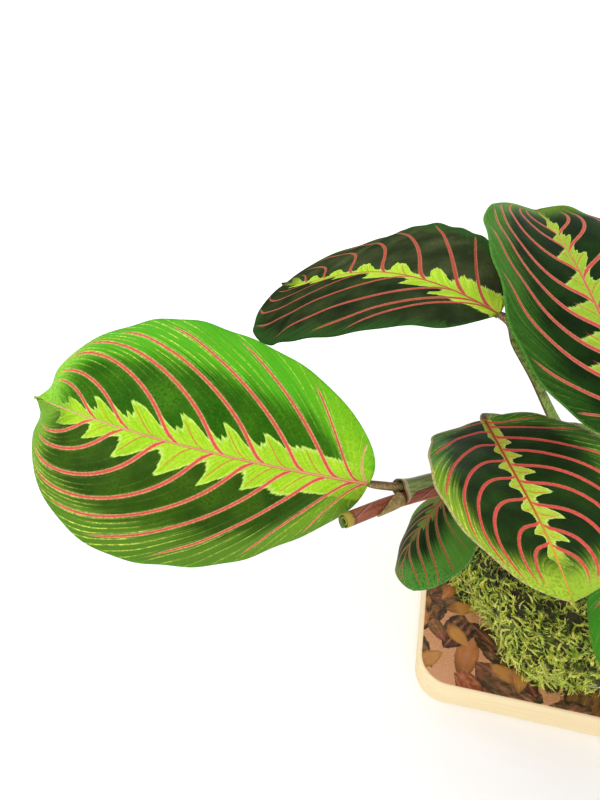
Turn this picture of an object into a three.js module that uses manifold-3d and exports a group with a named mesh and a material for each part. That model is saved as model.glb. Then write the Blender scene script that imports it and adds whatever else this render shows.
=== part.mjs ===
// Prayer plant growing out of a moss-wrapped root ball, which is bound with clear thread and stands
// on a flat wooden board with a printed top sheet. Millimetres, +Z up.
// The origin is the centre of the board's underside, and X runs along the board's front edge.
import * as THREE from 'three';
import { mergeVertices } from 'three/addons/utils/BufferGeometryUtils.js';
import Module from 'manifold-3d';

const wasm = await Module();
wasm.setup();

// Driving dimensions
const FIT_GAP = 0.3;
const BOARD = { side: 150, thickness: 17.5, cornerRadius: 15, edgeRound: 1.25, cornerSteps: 6 };
const SHEET = { thickness: 0.5, inset: 1.5 };
const BOARD_TOP = BOARD.thickness + SHEET.thickness;
const MOUND = { x: 2, y: -3, radius: 59, height: 72, sidePower: 2.2, topPower: 2.4 };
const MOSS = { thickness: 7, around: 40, up: 12, lump: 1.5 };
const ROOT_BALL = { around: 24, up: 6 };
const THREAD = { diameter: 0.6, turns: 3.5, low: 9, high: 50, tilt: 4, stand: 1.1, stepsPerTurn: 28 };
const STEM = { sides: 8, footDepth: 36, riseAbove: 5, endGap: 0.35, neck: 4 };
const BLADE = { thickness: 0.8, along: 12, across: 8, tipHalfWidth: 0.35 };
const LEAF_SHAPE = { bodyLength: 0.975, fullness: 1.18, roundness: 0.52, tipWidth: 0.1, stations: 48 };
const ROLL = { innerRadius: 1, outerRadius: 2.55, turns: 1.7, wall: 0.6, footShare: 0.85 };
const ROLL_GRID = { points: 15, steps: 7 };

// Leaf blades. base is where the stalk meets the blade. heading and pitch aim the midrib there, roll
// turns the blade about it, droop, hook, sway and twist are how far the midrib bends and turns by the
// tip, folds and curls lift or lower the left and right halves, and lobe is how far the two rounded
// lobes reach back past the stalk. Angles are in degrees.
const LEAVES = {
  leaf_left_front: {
    base: [-109.6, -78.4, 158.4], heading: 204.5, pitch: 24, roll: -82, length: 124, width: 84,
    droop: 17, hook: 61.5, sway: 1, twist: 32.5, fold: [7, 12], curl: [-12, -55], lobe: 11,
  },
  leaf_left_back: {
    base: [-73.9, -38, 208.9], heading: 148, pitch: 10, roll: -12, length: 131, width: 98.5,
    droop: 79, hook: -53, sway: 2, twist: -9, fold: [18, 0], curl: [-35, -18], lobe: 2.5,
  },
  leaf_top: {
    base: [-19.5, -56.5, 181.1], heading: 138, pitch: 46, roll: -47, length: 105.5, width: 80,
    droop: 54, hook: 9, sway: -8.5, twist: 30, fold: [19, 9], curl: [26, -54], lobe: 8,
  },
  leaf_front: {
    base: [-68, -33.4, 156.7], heading: -79, pitch: 14.5, roll: 7, length: 91.5, width: 65.5,
    droop: 4.5, hook: 25, sway: 4, twist: -9.5, fold: [27, 3.5], curl: [-10.5, 22], lobe: 7.5,
  },
  leaf_low_left: {
    base: [-76.1, -26.4, 101.9], heading: -109, pitch: 5.5, roll: 15, length: 52, width: 44.5,
    droop: 29, hook: 28, sway: 1.5, twist: 15, fold: [0, -12], curl: [-30, -49], lobe: 7.5,
  },
  leaf_low_front: {
    base: [-1.9, -57.6, 118.2], heading: -88, pitch: 16.5, roll: -14, length: 84, width: 60.5,
    droop: 25, hook: 9.5, sway: -0.5, twist: -2, fold: [8, 9], curl: [-25, -21], lobe: 7,
  },
  leaf_right_front: {
    base: [66, -46, 138], heading: -40, pitch: 18, roll: 8, length: 112, width: 80,
    droop: 42, hook: 10, sway: 5, twist: 6, fold: [9, 9], curl: [-25, -20], lobe: 8,
  },
  leaf_right: {
    base: [84, 8, 164], heading: 8, pitch: 22, roll: -6, length: 118, width: 83,
    droop: 46, hook: 12, sway: -4, twist: -8, fold: [8, 10], curl: [-22, -28], lobe: 8,
  },
  leaf_right_back: {
    base: [62, 58, 150], heading: 44, pitch: 20, roll: 5, length: 106, width: 76,
    droop: 44, hook: 14, sway: 3, twist: 4, fold: [8, 8], curl: [-24, -24], lobe: 8,
  },
  leaf_back: {
    base: [20, 74, 160], heading: 74, pitch: 20, roll: -4, length: 104, width: 72,
    droop: 52, hook: 12, sway: -5, twist: 5, fold: [9, 8], curl: [-26, -22], lobe: 7,
  },
  leaf_inner_back: {
    base: [-12, 38, 148], heading: 106, pitch: 30, roll: 6, length: 72, width: 51,
    droop: 44, hook: 10, sway: 3, twist: -5, fold: [10, 10], curl: [-22, -24], lobe: 6,
  },
  leaf_crown: {
    base: [40, -4, 196], heading: -14, pitch: 34, roll: 10, length: 104, width: 74,
    droop: 50, hook: 10, sway: 4, twist: -6, fold: [8, 9], curl: [-20, -24], lobe: 8,
  },
  leaf_young_back: {
    base: [38, 40, 172], heading: 56, pitch: 34, roll: 8, length: 78, width: 54,
    droop: 42, hook: 10, sway: -4, twist: 6, fold: [10, 10], curl: [-20, -24], lobe: 6,
  },
  leaf_low_right: {
    base: [72, -14, 104], heading: -14, pitch: 8, roll: 4, length: 70, width: 52,
    droop: 30, hook: 10, sway: 4, twist: 4, fold: [9, 9], curl: [-24, -24], lobe: 6,
  },
  leaf_low_back: {
    base: [30, 64, 104], heading: 66, pitch: 8, roll: -6, length: 74, width: 54,
    droop: 32, hook: 10, sway: -4, twist: 4, fold: [9, 9], curl: [-24, -24], lobe: 6,
  },
};

// The young leaf still rolled up: the two ends of its axis
const ROLLED_LEAF = { foot: [-84.4, -61.3, 141.5], tip: [-115.4, -93.2, 153.5], bow: 1.5 };

// Leafy stems. foot is where a stem leaves the mound, via are the points that it bends through,
// leaf is the blade on its end, radii run from foot to end, and each branch leaves the stem at from.
const STEMS = {
  stem_left: {
    foot: [-15, -9], leaf: 'leaf_left_front', radii: [3.1, 2.9, 2.7, 2.5, 2.3, 2.1, 1.9, 1.55],
    via: [[-32, -17, 109], [-50, -28, 122], [-69.7, -42.2, 132.4], [-84.1, -55.6, 142.3],
      [-95.8, -67.4, 148.2]],
    branches: [
      {
        from: [-58, -33.5, 126.2], via: [[-70, -45.5, 131.5], [-78.5, -55, 137.3]],
        end: [-84, -60.9, 141.3], radii: [1.9, 1.8, 1.7],
      },
    ],
  },
  stem_low_left: {
    foot: [-22, 4], leaf: 'leaf_low_left', radii: [2.4, 2.2, 1.8, 1.5, 1.3],
    via: [[-44, -1, 104], [-66, -10, 108]],
  },
  stem_left_back: {
    foot: [-9, 1], leaf: 'leaf_left_back', radii: [3.3, 3.2, 3.1, 2.5, 2, 1.5, 1.3],
    via: [[-23, -12, 127], [-39.6, -20.8, 152.6], [-53.5, -26.5, 176], [-65.1, -33.6, 195]],
  },
  stem_front: {
    foot: [1, -10], leaf: 'leaf_front', radii: [2.8, 2.6, 2.3, 2.1, 1.9, 1.7, 1.5],
    via: [[-3, -3, 113], [-11, 1.5, 127.5], [-23, -2, 134.5], [-38, -10.5, 139],
      [-52, -18, 146.5], [-61.6, -23, 154]],
  },
  stem_top: {
    foot: [11, -13], leaf: 'leaf_top', radii: [3.2, 3, 2.7, 2.4, 2, 1.6, 1.4],
    via: [[7, -30, 125], [-8, -54, 164], [-15, -60, 175.5]],
  },
  stem_low_front: {
    foot: [6, -25], leaf: 'leaf_low_front', radii: [2.6, 2.4, 2, 1.7, 1.4],
    via: [[4, -38, 108]],
  },
  stem_right_front: {
    foot: [20, -11], leaf: 'leaf_right_front', radii: [3, 2.8, 2.4, 2, 1.6, 1.5],
    via: [[35, -23, 115], [52, -36, 131]],
  },
  stem_right: {
    foot: [22, 3], leaf: 'leaf_right', radii: [3.2, 3, 2.6, 2.2, 1.8, 1.5],
    via: [[44, 5, 124], [68, 6.5, 152]],
    branches: [
      {
        from: [29, 3.5, 106], via: [[48, -3, 110]], leaf: 'leaf_low_right', radii: [1.8, 1.6, 1.3],
      },
    ],
  },
  stem_right_back: {
    foot: [15, 14], leaf: 'leaf_right_back', radii: [3.2, 3, 2.5, 2.1, 1.7, 1.5],
    via: [[32, 29, 118], [50, 46, 140]],
    branches: [
      {
        from: [31, 28, 116.5], via: [[32, 32, 145], [34.5, 35.5, 166]],
        leaf: 'leaf_young_back', radii: [1.9, 1.6, 1.4, 1.2],
      },
    ],
  },
  stem_back: {
    foot: [3, 17], leaf: 'leaf_back', radii: [3, 2.8, 2.4, 2, 1.6, 1.5],
    via: [[7, 38, 124], [14, 60, 151]],
    branches: [
      {
        from: [4.5, 25, 106], via: [[16, 42, 108]], leaf: 'leaf_low_back', radii: [1.8, 1.6, 1.3],
      },
    ],
  },
  stem_inner_back: {
    foot: [-9, 15], leaf: 'leaf_inner_back', radii: [2.7, 2.4, 2, 1.7, 1.4],
    via: [[-10, 24, 120], [-11.5, 33, 140]],
  },
  stem_crown: {
    foot: [7, 3], leaf: 'leaf_crown', radii: [3.2, 3, 2.7, 2.3, 1.9, 1.6, 1.4],
    via: [[15, 2, 135], [27, -1, 170], [34, -2.5, 188]],
  },
};

// Finishes: colour, roughness
const FINISHES = {
  board: [0xeedcb4, 0.6],
  sheet: [0xc69a70, 0.7],
  roots: [0x3b2a1c, 0.95],
  moss: [0x7d8a3a, 0.9],
  thread: [0xdad8cc, 0.3],
  stem: [0x6c8a3e, 0.5],
  blade: [0x2f6a1f, 0.4],
  roll: [0x9c5750, 0.45],
};

const radians = THREE.MathUtils.degToRad;
const lerp = THREE.MathUtils.lerp;
const clamp = THREE.MathUtils.clamp;
const vector = (point) => new THREE.Vector3(...point);

// Solids

// A closed geometry with shared vertices, with no triangle that has two corners in one place
function welded(geometry) {
  const bare = geometry.clone();
  bare.deleteAttribute('normal');
  bare.deleteAttribute('uv');
  const merged = mergeVertices(bare, 1e-4);
  const kept = [];
  for (let i = 0; i < merged.index.count; i += 3) {
    const corners = [0, 1, 2].map((k) => merged.index.getX(i + k));
    if (new Set(corners).size === 3) kept.push(...corners);
  }
  merged.setIndex(kept);
  return merged;
}

function solidOf(geometry) {
  const merged = welded(geometry);
  return new wasm.Manifold(new wasm.Mesh({
    numProp: 3,
    vertProperties: new Float32Array(merged.attributes.position.array),
    triVerts: new Uint32Array(merged.index.array),
  }));
}

function geometryOf(solid) {
  const mesh = solid.getMesh();
  const geometry = new THREE.BufferGeometry();
  geometry.setAttribute('position', new THREE.BufferAttribute(new Float32Array(mesh.vertProperties), 3));
  geometry.setIndex(new THREE.BufferAttribute(new Uint32Array(mesh.triVerts), 1));
  return geometry;
}

function roundOutline(radius, sides) {
  const points = [];
  for (let k = 0; k < sides; k += 1) {
    const angle = (2 * Math.PI * k) / sides;
    points.push(new THREE.Vector2(radius * Math.cos(angle), radius * Math.sin(angle)));
  }
  return new THREE.Shape(points);
}

// Carries an outline along a path, sized at each step by scale(0 to 1)
function sweep(outline, path, steps, scale = () => 1) {
  const geometry = new THREE.ExtrudeGeometry(outline, { depth: 1, steps, bevelEnabled: false });
  const frames = path.computeFrenetFrames(steps, false);
  const position = geometry.attributes.position;
  for (let i = 0; i < position.count; i += 1) {
    const step = Math.round(position.getZ(i) * steps);
    const size = scale(step / steps);
    const place = path.getPointAt(step / steps);
    place.addScaledVector(frames.normals[step], size * position.getX(i));
    place.addScaledVector(frames.binormals[step], size * position.getY(i));
    position.setXYZ(i, place.x, place.y, place.z);
  }
  return geometry;
}

// A value read off an evenly spaced list at a fraction of its length
function along(list, fraction) {
  const place = clamp(fraction, 0, 1) * (list.length - 1);
  const index = Math.min(Math.floor(place), list.length - 2);
  return lerp(list[index], list[index + 1], place - index);
}

// Leaf blades

function halfWidth(u, width) {
  const body = Math.sin(Math.PI * clamp(u / LEAF_SHAPE.bodyLength, 0, 1) ** LEAF_SHAPE.fullness);
  const tip = LEAF_SHAPE.tipWidth * clamp((1 - u) / LEAF_SHAPE.tipWidth, 0, 1);
  const share = Math.max(Math.max(body, 0) ** LEAF_SHAPE.roundness, tip);
  return Math.max(0.5 * width * share, BLADE.tipHalfWidth);
}

// Forward, left and up directions of a leaf at its base
function leafAxes(leaf) {
  const heading = radians(leaf.heading);
  const pitch = radians(leaf.pitch);
  const forward = new THREE.Vector3(
    Math.cos(heading) * Math.cos(pitch),
    Math.sin(heading) * Math.cos(pitch),
    Math.sin(pitch),
  );
  const up = new THREE.Vector3(
    -Math.cos(heading) * Math.sin(pitch),
    -Math.sin(heading) * Math.sin(pitch),
    Math.cos(pitch),
  );
  up.applyAxisAngle(forward, radians(leaf.roll));
  return { forward, left: up.clone().cross(forward), up };
}

// The midrib as a list of places, each with its forward, left and up directions
function midrib(leaf) {
  const { forward, left, up } = leafAxes(leaf);
  const place = vector(leaf.base);
  const count = LEAF_SHAPE.stations;
  const stations = [{ place: place.clone(), forward: forward.clone(), left: left.clone(), up: up.clone() }];
  for (let k = 0; k < count; k += 1) {
    const u = (k + 0.5) / count;
    const before = forward.clone();
    const bend = radians(leaf.droop + 4 * leaf.hook * u ** 3) / count;
    forward.applyAxisAngle(left, bend);
    up.applyAxisAngle(left, bend);
    forward.applyAxisAngle(up, radians(leaf.sway) / count);
    left.applyAxisAngle(up, radians(leaf.sway) / count);
    left.applyAxisAngle(forward, radians(leaf.twist) / count);
    up.applyAxisAngle(forward, radians(leaf.twist) / count);
    place.addScaledVector(before.add(forward), (0.5 * leaf.length) / count);
    stations.push({ place: place.clone(), forward: forward.clone(), left: left.clone(), up: up.clone() });
  }
  return stations;
}

// A point on the middle surface of a blade: u runs from stalk to tip, t from right edge to left edge
function bladePoint(leaf, stations, u, t) {
  const reach = leaf.width / 2;
  const side = Math.abs(t) * halfWidth(u, leaf.width);
  const x = u * leaf.length - leaf.lobe * (side / reach) * (1 - u) ** 3;
  const place = clamp(x / leaf.length, 0, 1) * LEAF_SHAPE.stations;
  const index = Math.min(Math.floor(place), LEAF_SHAPE.stations - 1);
  const part = place - index;
  const at = (key) => stations[index][key].clone().lerp(stations[index + 1][key], part);
  const half = t >= 0 ? 0 : 1;
  const fold = radians(leaf.fold[half]);
  const bend = radians(leaf.curl[half] || 1) / reach;
  const outward = (Math.sin(fold + bend * side) - Math.sin(fold)) / bend;
  const lift = (Math.cos(fold) - Math.cos(fold + bend * side)) / bend;
  return at('place')
    .addScaledVector(stations[0].forward, Math.min(x, 0))
    .addScaledVector(at('left'), Math.sign(t) * outward)
    .addScaledVector(at('up'), lift);
}

// A blade of even thickness, its upper and lower faces split alike, closed by a rim of strips
function bladeGeometry(leaf) {
  const stations = midrib(leaf);
  const rows = BLADE.along;
  const columns = BLADE.across;
  const nudge = 1e-3;
  const points = { 1: [], '-1': [] };
  for (let i = 0; i <= rows; i += 1) {
    const u = 0.5 - 0.5 * Math.cos((Math.PI * i) / rows);
    for (let j = 0; j <= columns; j += 1) {
      const t = (2 * j) / columns - 1;
      const middle = bladePoint(leaf, stations, u, t);
      const uStep = u > 0.5 ? -nudge : nudge;
      const tStep = t > 0 ? -nudge : nudge;
      const alongLeaf = bladePoint(leaf, stations, u + uStep, t).sub(middle);
      const acrossLeaf = bladePoint(leaf, stations, u, t + tStep).sub(middle);
      const turn = Math.sign(uStep) * Math.sign(tStep);
      const normal = alongLeaf.cross(acrossLeaf).normalize().multiplyScalar(turn);
      for (const face of [1, -1]) {
        points[face].push(middle.clone().addScaledVector(normal, (face * BLADE.thickness) / 2));
      }
    }
  }
  const all = [...points[1], ...points[-1]];
  const top = (i, j) => i * (columns + 1) + j;
  const under = (i, j) => top(i, j) + points[1].length;
  const triangles = [];
  for (let i = 0; i < rows; i += 1) {
    for (let j = 0; j < columns; j += 1) {
      triangles.push(top(i, j), top(i + 1, j), top(i + 1, j + 1));
      triangles.push(top(i, j), top(i + 1, j + 1), top(i, j + 1));
      triangles.push(under(i, j), under(i + 1, j + 1), under(i + 1, j));
      triangles.push(under(i, j), under(i, j + 1), under(i + 1, j + 1));
    }
  }
  const rim = [];
  for (let i = 0; i < rows; i += 1) rim.push([[i, 0], [i + 1, 0]]);
  for (let j = 0; j < columns; j += 1) rim.push([[rows, j], [rows, j + 1]]);
  for (let i = rows; i > 0; i -= 1) rim.push([[i, columns], [i - 1, columns]]);
  for (let j = columns; j > 0; j -= 1) rim.push([[0, j], [0, j - 1]]);
  for (const [a, b] of rim) {
    triangles.push(top(...a), under(...a), under(...b), top(...a), under(...b), top(...b));
  }
  const geometry = new THREE.BufferGeometry().setFromPoints(all);
  geometry.setIndex(triangles);
  return geometry;
}

// Board and its printed sheet

function roundedSquare(side, radius, steps) {
  const reach = side / 2 - radius;
  const points = [];
  for (const [x, y, start] of [[1, 1, 0], [-1, 1, 90], [-1, -1, 180], [1, -1, 270]]) {
    for (let k = 0; k <= steps; k += 1) {
      const angle = radians(start + (90 * k) / steps);
      const corner = new THREE.Vector2(x * reach, y * reach);
      points.push(corner.add(new THREE.Vector2(radius * Math.cos(angle), radius * Math.sin(angle))));
    }
  }
  return new THREE.Shape(points);
}

function boardGeometry() {
  const { side, thickness, cornerRadius, edgeRound, cornerSteps } = BOARD;
  const geometry = new THREE.ExtrudeGeometry(roundedSquare(side, cornerRadius, cornerSteps), {
    depth: thickness - 2 * edgeRound,
    bevelEnabled: true,
    bevelThickness: edgeRound,
    bevelSize: edgeRound,
    bevelOffset: -edgeRound,
    bevelSegments: 2,
  });
  return geometry.translate(0, 0, edgeRound);
}

function sheetGeometry() {
  const side = BOARD.side - 2 * SHEET.inset;
  const outline = roundedSquare(side, BOARD.cornerRadius - SHEET.inset, BOARD.cornerSteps);
  const geometry = new THREE.ExtrudeGeometry(outline, { depth: SHEET.thickness, bevelEnabled: false });
  return geometry.translate(0, 0, BOARD.thickness);
}

// Mound: the root ball and the moss around it

// Radius of the mound's smooth dome at a height above the board
function moundRadius(height, radius = MOUND.radius, top = MOUND.height) {
  const share = clamp(height / top, 0, 1);
  return radius * (1 - share ** MOUND.topPower) ** (1 / MOUND.sidePower);
}

// How far the moss stands proud of the smooth dome, in soft lumps
function mossLump(angle, height) {
  const wide = Math.sin(5 * angle + 0.11 * height + 0.6) * Math.cos(3 * angle - 0.08 * height);
  const small = Math.sin(11 * angle - 0.19 * height + 2) * Math.cos(0.24 * height + 4 * angle);
  return MOSS.lump * (0.6 * wide + 0.55 * small);
}

// A dome over the board as a closed solid of rings, from a flat foot to one point on top
function domeGeometry(radius, top, foot, around, up, lump = () => 0) {
  const points = [new THREE.Vector3(MOUND.x, MOUND.y, foot)];
  const ring = (k, j) => 1 + k * around + (j % around);
  const rings = up + 1;
  for (let k = 0; k < rings; k += 1) {
    const height = top * Math.sin((0.5 * Math.PI * k) / rings) ** 0.9;
    for (let j = 0; j < around; j += 1) {
      const angle = (2 * Math.PI * j) / around;
      const r = moundRadius(height, radius, top) + lump(angle, height);
      const z = k === 0 ? foot : BOARD_TOP + height;
      points.push(new THREE.Vector3(MOUND.x + r * Math.cos(angle), MOUND.y + r * Math.sin(angle), z));
    }
  }
  const apex = points.length;
  points.push(new THREE.Vector3(MOUND.x, MOUND.y, BOARD_TOP + top));
  const triangles = [];
  for (let j = 0; j < around; j += 1) {
    triangles.push(0, ring(0, j + 1), ring(0, j));
    triangles.push(apex, ring(rings - 1, j), ring(rings - 1, j + 1));
    for (let k = 0; k < rings - 1; k += 1) {
      triangles.push(ring(k, j), ring(k, j + 1), ring(k + 1, j + 1));
      triangles.push(ring(k, j), ring(k + 1, j + 1), ring(k + 1, j));
    }
  }
  const geometry = new THREE.BufferGeometry().setFromPoints(points);
  geometry.setIndex(triangles);
  return geometry;
}

// Thread wound round the moss in rising turns, each tilted a little
function threadGeometry() {
  const steps = Math.round(THREAD.turns * THREAD.stepsPerTurn);
  const points = [];
  for (let k = 0; k <= steps; k += 1) {
    const angle = (2 * Math.PI * k) / THREAD.stepsPerTurn - 0.5 * Math.PI;
    const height = lerp(THREAD.low, THREAD.high, k / steps) + THREAD.tilt * Math.sin(angle);
    const r = moundRadius(height) + Math.max(mossLump(angle, height), 0) + THREAD.stand;
    points.push(new THREE.Vector3(
      MOUND.x + r * Math.cos(angle),
      MOUND.y + r * Math.sin(angle),
      BOARD_TOP + height,
    ));
  }
  return sweep(roundOutline(THREAD.diameter / 2, 5), new THREE.CatmullRomCurve3(points), steps);
}

// Stems

// A stalk's last points: it turns into the blade's own direction just behind the blade
function stalkEnd(leafName) {
  const leaf = LEAVES[leafName];
  const { forward } = leafAxes(leaf);
  return [STEM.neck, BLADE.thickness / 2 + STEM.endGap]
    .map((back) => vector(leaf.base).addScaledVector(forward, -back));
}

function stemPath(stem) {
  const [x, y] = stem.foot;
  const top = BOARD_TOP + MOUND.height;
  const rise = [top - STEM.footDepth, top - STEM.footDepth / 2, top + STEM.riseAbove];
  return new THREE.CatmullRomCurve3([
    ...rise.map((z) => new THREE.Vector3(x, y, z)),
    ...stem.via.map(vector),
    ...stalkEnd(stem.leaf),
  ]);
}

function branchPath(branch) {
  const end = branch.leaf ? stalkEnd(branch.leaf) : [vector(branch.end)];
  return new THREE.CatmullRomCurve3([vector(branch.from), ...branch.via.map(vector), ...end]);
}

function tapered(path, radii, grow = 0) {
  const steps = Math.max(5, Math.round(path.getLength() / 11));
  return sweep(roundOutline(1, STEM.sides), path, steps, (s) => along(radii, s) + grow);
}

function stemSolid(stem) {
  let solid = solidOf(tapered(stemPath(stem), stem.radii));
  for (const branch of stem.branches ?? []) {
    solid = solid.add(solidOf(tapered(branchPath(branch), branch.radii)));
  }
  return solid;
}

// The young leaf as a rolled sheet, open at its tip
function rolledLeafGeometry() {
  const { innerRadius, outerRadius, turns, wall, footShare } = ROLL;
  const { points, steps } = ROLL_GRID;
  const outer = [];
  const inner = [];
  for (let k = 0; k < points; k += 1) {
    const share = k / (points - 1);
    const angle = 2 * Math.PI * turns * share;
    const radius = lerp(innerRadius, outerRadius, share);
    outer.push(new THREE.Vector2(radius * Math.cos(angle), radius * Math.sin(angle)));
    inner.unshift(new THREE.Vector2((radius - wall) * Math.cos(angle), (radius - wall) * Math.sin(angle)));
  }
  const foot = vector(ROLLED_LEAF.foot);
  const tip = vector(ROLLED_LEAF.tip);
  const middle = foot.clone().lerp(tip, 0.5).add(new THREE.Vector3(0, 0, ROLLED_LEAF.bow));
  const path = new THREE.CatmullRomCurve3([foot, middle, tip]);
  const flare = (s) => lerp(footShare, 1, Math.sin(0.5 * Math.PI * s));
  return sweep(new THREE.Shape([...outer, ...inner]), path, steps, flare);
}

// Assembly

const part = new THREE.Group();

function addPiece(name, geometry, finish) {
  const [color, roughness] = FINISHES[finish];
  const mesh = new THREE.Mesh(geometry, new THREE.MeshStandardMaterial({ color, roughness, metalness: 0 }));
  mesh.name = name;
  part.add(mesh);
}

addPiece('board', boardGeometry(), 'board');
addPiece('print_sheet', sheetGeometry(), 'sheet');

function rootBallGeometry(grow, foot) {
  const radius = MOUND.radius - MOSS.thickness + grow;
  const top = MOUND.height - MOSS.thickness + grow;
  return domeGeometry(radius, top, foot, ROOT_BALL.around, ROOT_BALL.up);
}

let roots = solidOf(rootBallGeometry(0, BOARD_TOP));
let moss = solidOf(domeGeometry(MOUND.radius, MOUND.height, BOARD_TOP, MOSS.around, MOSS.up, mossLump));
moss = moss.subtract(solidOf(rootBallGeometry(FIT_GAP, BOARD_TOP - 1)));
for (const stem of Object.values(STEMS)) {
  const hole = solidOf(tapered(stemPath(stem), stem.radii, FIT_GAP));
  roots = roots.subtract(hole);
  moss = moss.subtract(hole);
}
addPiece('root_ball', geometryOf(roots), 'roots');
addPiece('moss_cover', geometryOf(moss), 'moss');
addPiece('binding_thread', threadGeometry(), 'thread');

for (const [name, stem] of Object.entries(STEMS)) addPiece(name, geometryOf(stemSolid(stem)), 'stem');
for (const [name, leaf] of Object.entries(LEAVES)) addPiece(name, bladeGeometry(leaf), 'blade');
addPiece('rolled_leaf', rolledLeafGeometry(), 'roll');

export default part;
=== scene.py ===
import math

import bpy
import numpy as np
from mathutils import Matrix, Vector


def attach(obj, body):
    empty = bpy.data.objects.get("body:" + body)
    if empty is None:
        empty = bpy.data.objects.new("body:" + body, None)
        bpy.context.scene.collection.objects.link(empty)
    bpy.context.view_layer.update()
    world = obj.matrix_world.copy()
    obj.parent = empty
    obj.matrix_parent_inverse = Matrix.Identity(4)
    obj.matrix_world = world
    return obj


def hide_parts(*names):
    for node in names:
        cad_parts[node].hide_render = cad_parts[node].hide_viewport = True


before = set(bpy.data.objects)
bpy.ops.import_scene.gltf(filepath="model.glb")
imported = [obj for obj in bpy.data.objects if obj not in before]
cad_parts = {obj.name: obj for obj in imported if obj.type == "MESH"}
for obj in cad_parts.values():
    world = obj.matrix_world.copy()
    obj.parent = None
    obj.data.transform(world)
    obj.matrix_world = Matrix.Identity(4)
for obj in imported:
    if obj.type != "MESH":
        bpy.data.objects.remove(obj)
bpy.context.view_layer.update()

MM = 0.001
FULL_TURN = 2 * math.pi

# Sizes shared with the solids
BOARD = {"side": 150.0, "thickness": 17.5, "corner": 15.0, "round": 1.6}
SHEET = {"thickness": 0.5, "inset": 1.5, "bevel": 0.12}
BOARD_TOP = BOARD["thickness"] + SHEET["thickness"]
MOUND = {"x": 2.0, "y": -3.0, "radius": 59.0, "height": 72.0, "side_power": 2.2, "top_power": 2.4}
MOSS_LUMP = 1.5
THREAD = {"diameter": 0.6, "turns": 3.5, "heights": (9.0, 50.0), "tilt": 4.0, "loose": 2.8, "sink": 2.1}
STEM = {"foot_depth": 36.0, "rise": 5.0, "neck": 4.0}
BLADE = {"thickness": 0.7, "rim": 0.3, "tip": 0.35, "body": 0.975, "fullness": 1.18, "roundness": 0.52,
         "tip_width": 0.1, "base_round": 0.009, "stations": 48}

# Where the side veins leave the midrib, as shares of its length
VEIN_ROOTS = {
    "left": (-0.005, 0.05, 0.152, 0.257, 0.368, 0.48, 0.607, 0.717, 0.8),
    "right": (-0.03, 0.03, 0.11, 0.22, 0.34, 0.453, 0.578, 0.705, 0.79),
}
WIDE_ROOTS = {
    "left": (0.035, 0.07, 0.16, 0.31, 0.48, 0.65, 0.8),
    "right": (0.03, 0.12, 0.26, 0.42, 0.58, 0.74, 0.86),
}
# The small low leaf has more blade on one side of its midrib, and there the first veins start at its edge
SWEPT_ROOTS = {"left": (-0.38, -0.2, -0.05, 0.1, 0.25, 0.42, 0.6), "right": WIDE_ROOTS["right"]}

# What a leaf has unless its own row says otherwise. grid is how many cells its blade has along and
# across, and roots is where its veins leave the midrib. trim is where each half is wider or narrower than
# the even outline: the share of the length, the spread of the change and its share of the width. run is
# how much the veins of each half lean and sweep forward. nib is how far the tip's point turns up, end
# is where along the length the blade's grid stops, skew is how far the midrib lies off the middle, wave
# is how much the edge waves, and bumps are raised places near the edge: the half, the share of the
# length, the spread and the height.
PLAIN_LEAF = {
    "grid": (80, 48), "roots": VEIN_ROOTS, "trim": {"left": (), "right": ()},
    "run": {"left": (1.0, 1.0), "right": (1.0, 1.0)}, "nib": 0.0, "end": 1.0, "skew": 0.0, "wave": 1.0,
    "bumps": ()}


def leaf(base, turns, size, bends, fold, curl, lobe, look, **more):
    """One leaf blade, as in the solids. base is where the stalk meets it, and turns are its heading,
    pitch and roll there. size is its length and width, and bends are the droop, hook, sway and twist
    along its midrib. fold and curl are the angles of its left and right half, lobe is how far its base
    reaches back and look is its finish."""
    names = ("heading", "pitch", "roll", "length", "width", "droop", "hook", "sway", "twist")
    shape = dict(zip(names, (*turns, *size, *bends)))
    shape.update(base=base, fold=fold, curl=curl, lobe=lobe, look=look)
    return {**PLAIN_LEAF, **shape, **more}


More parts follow.
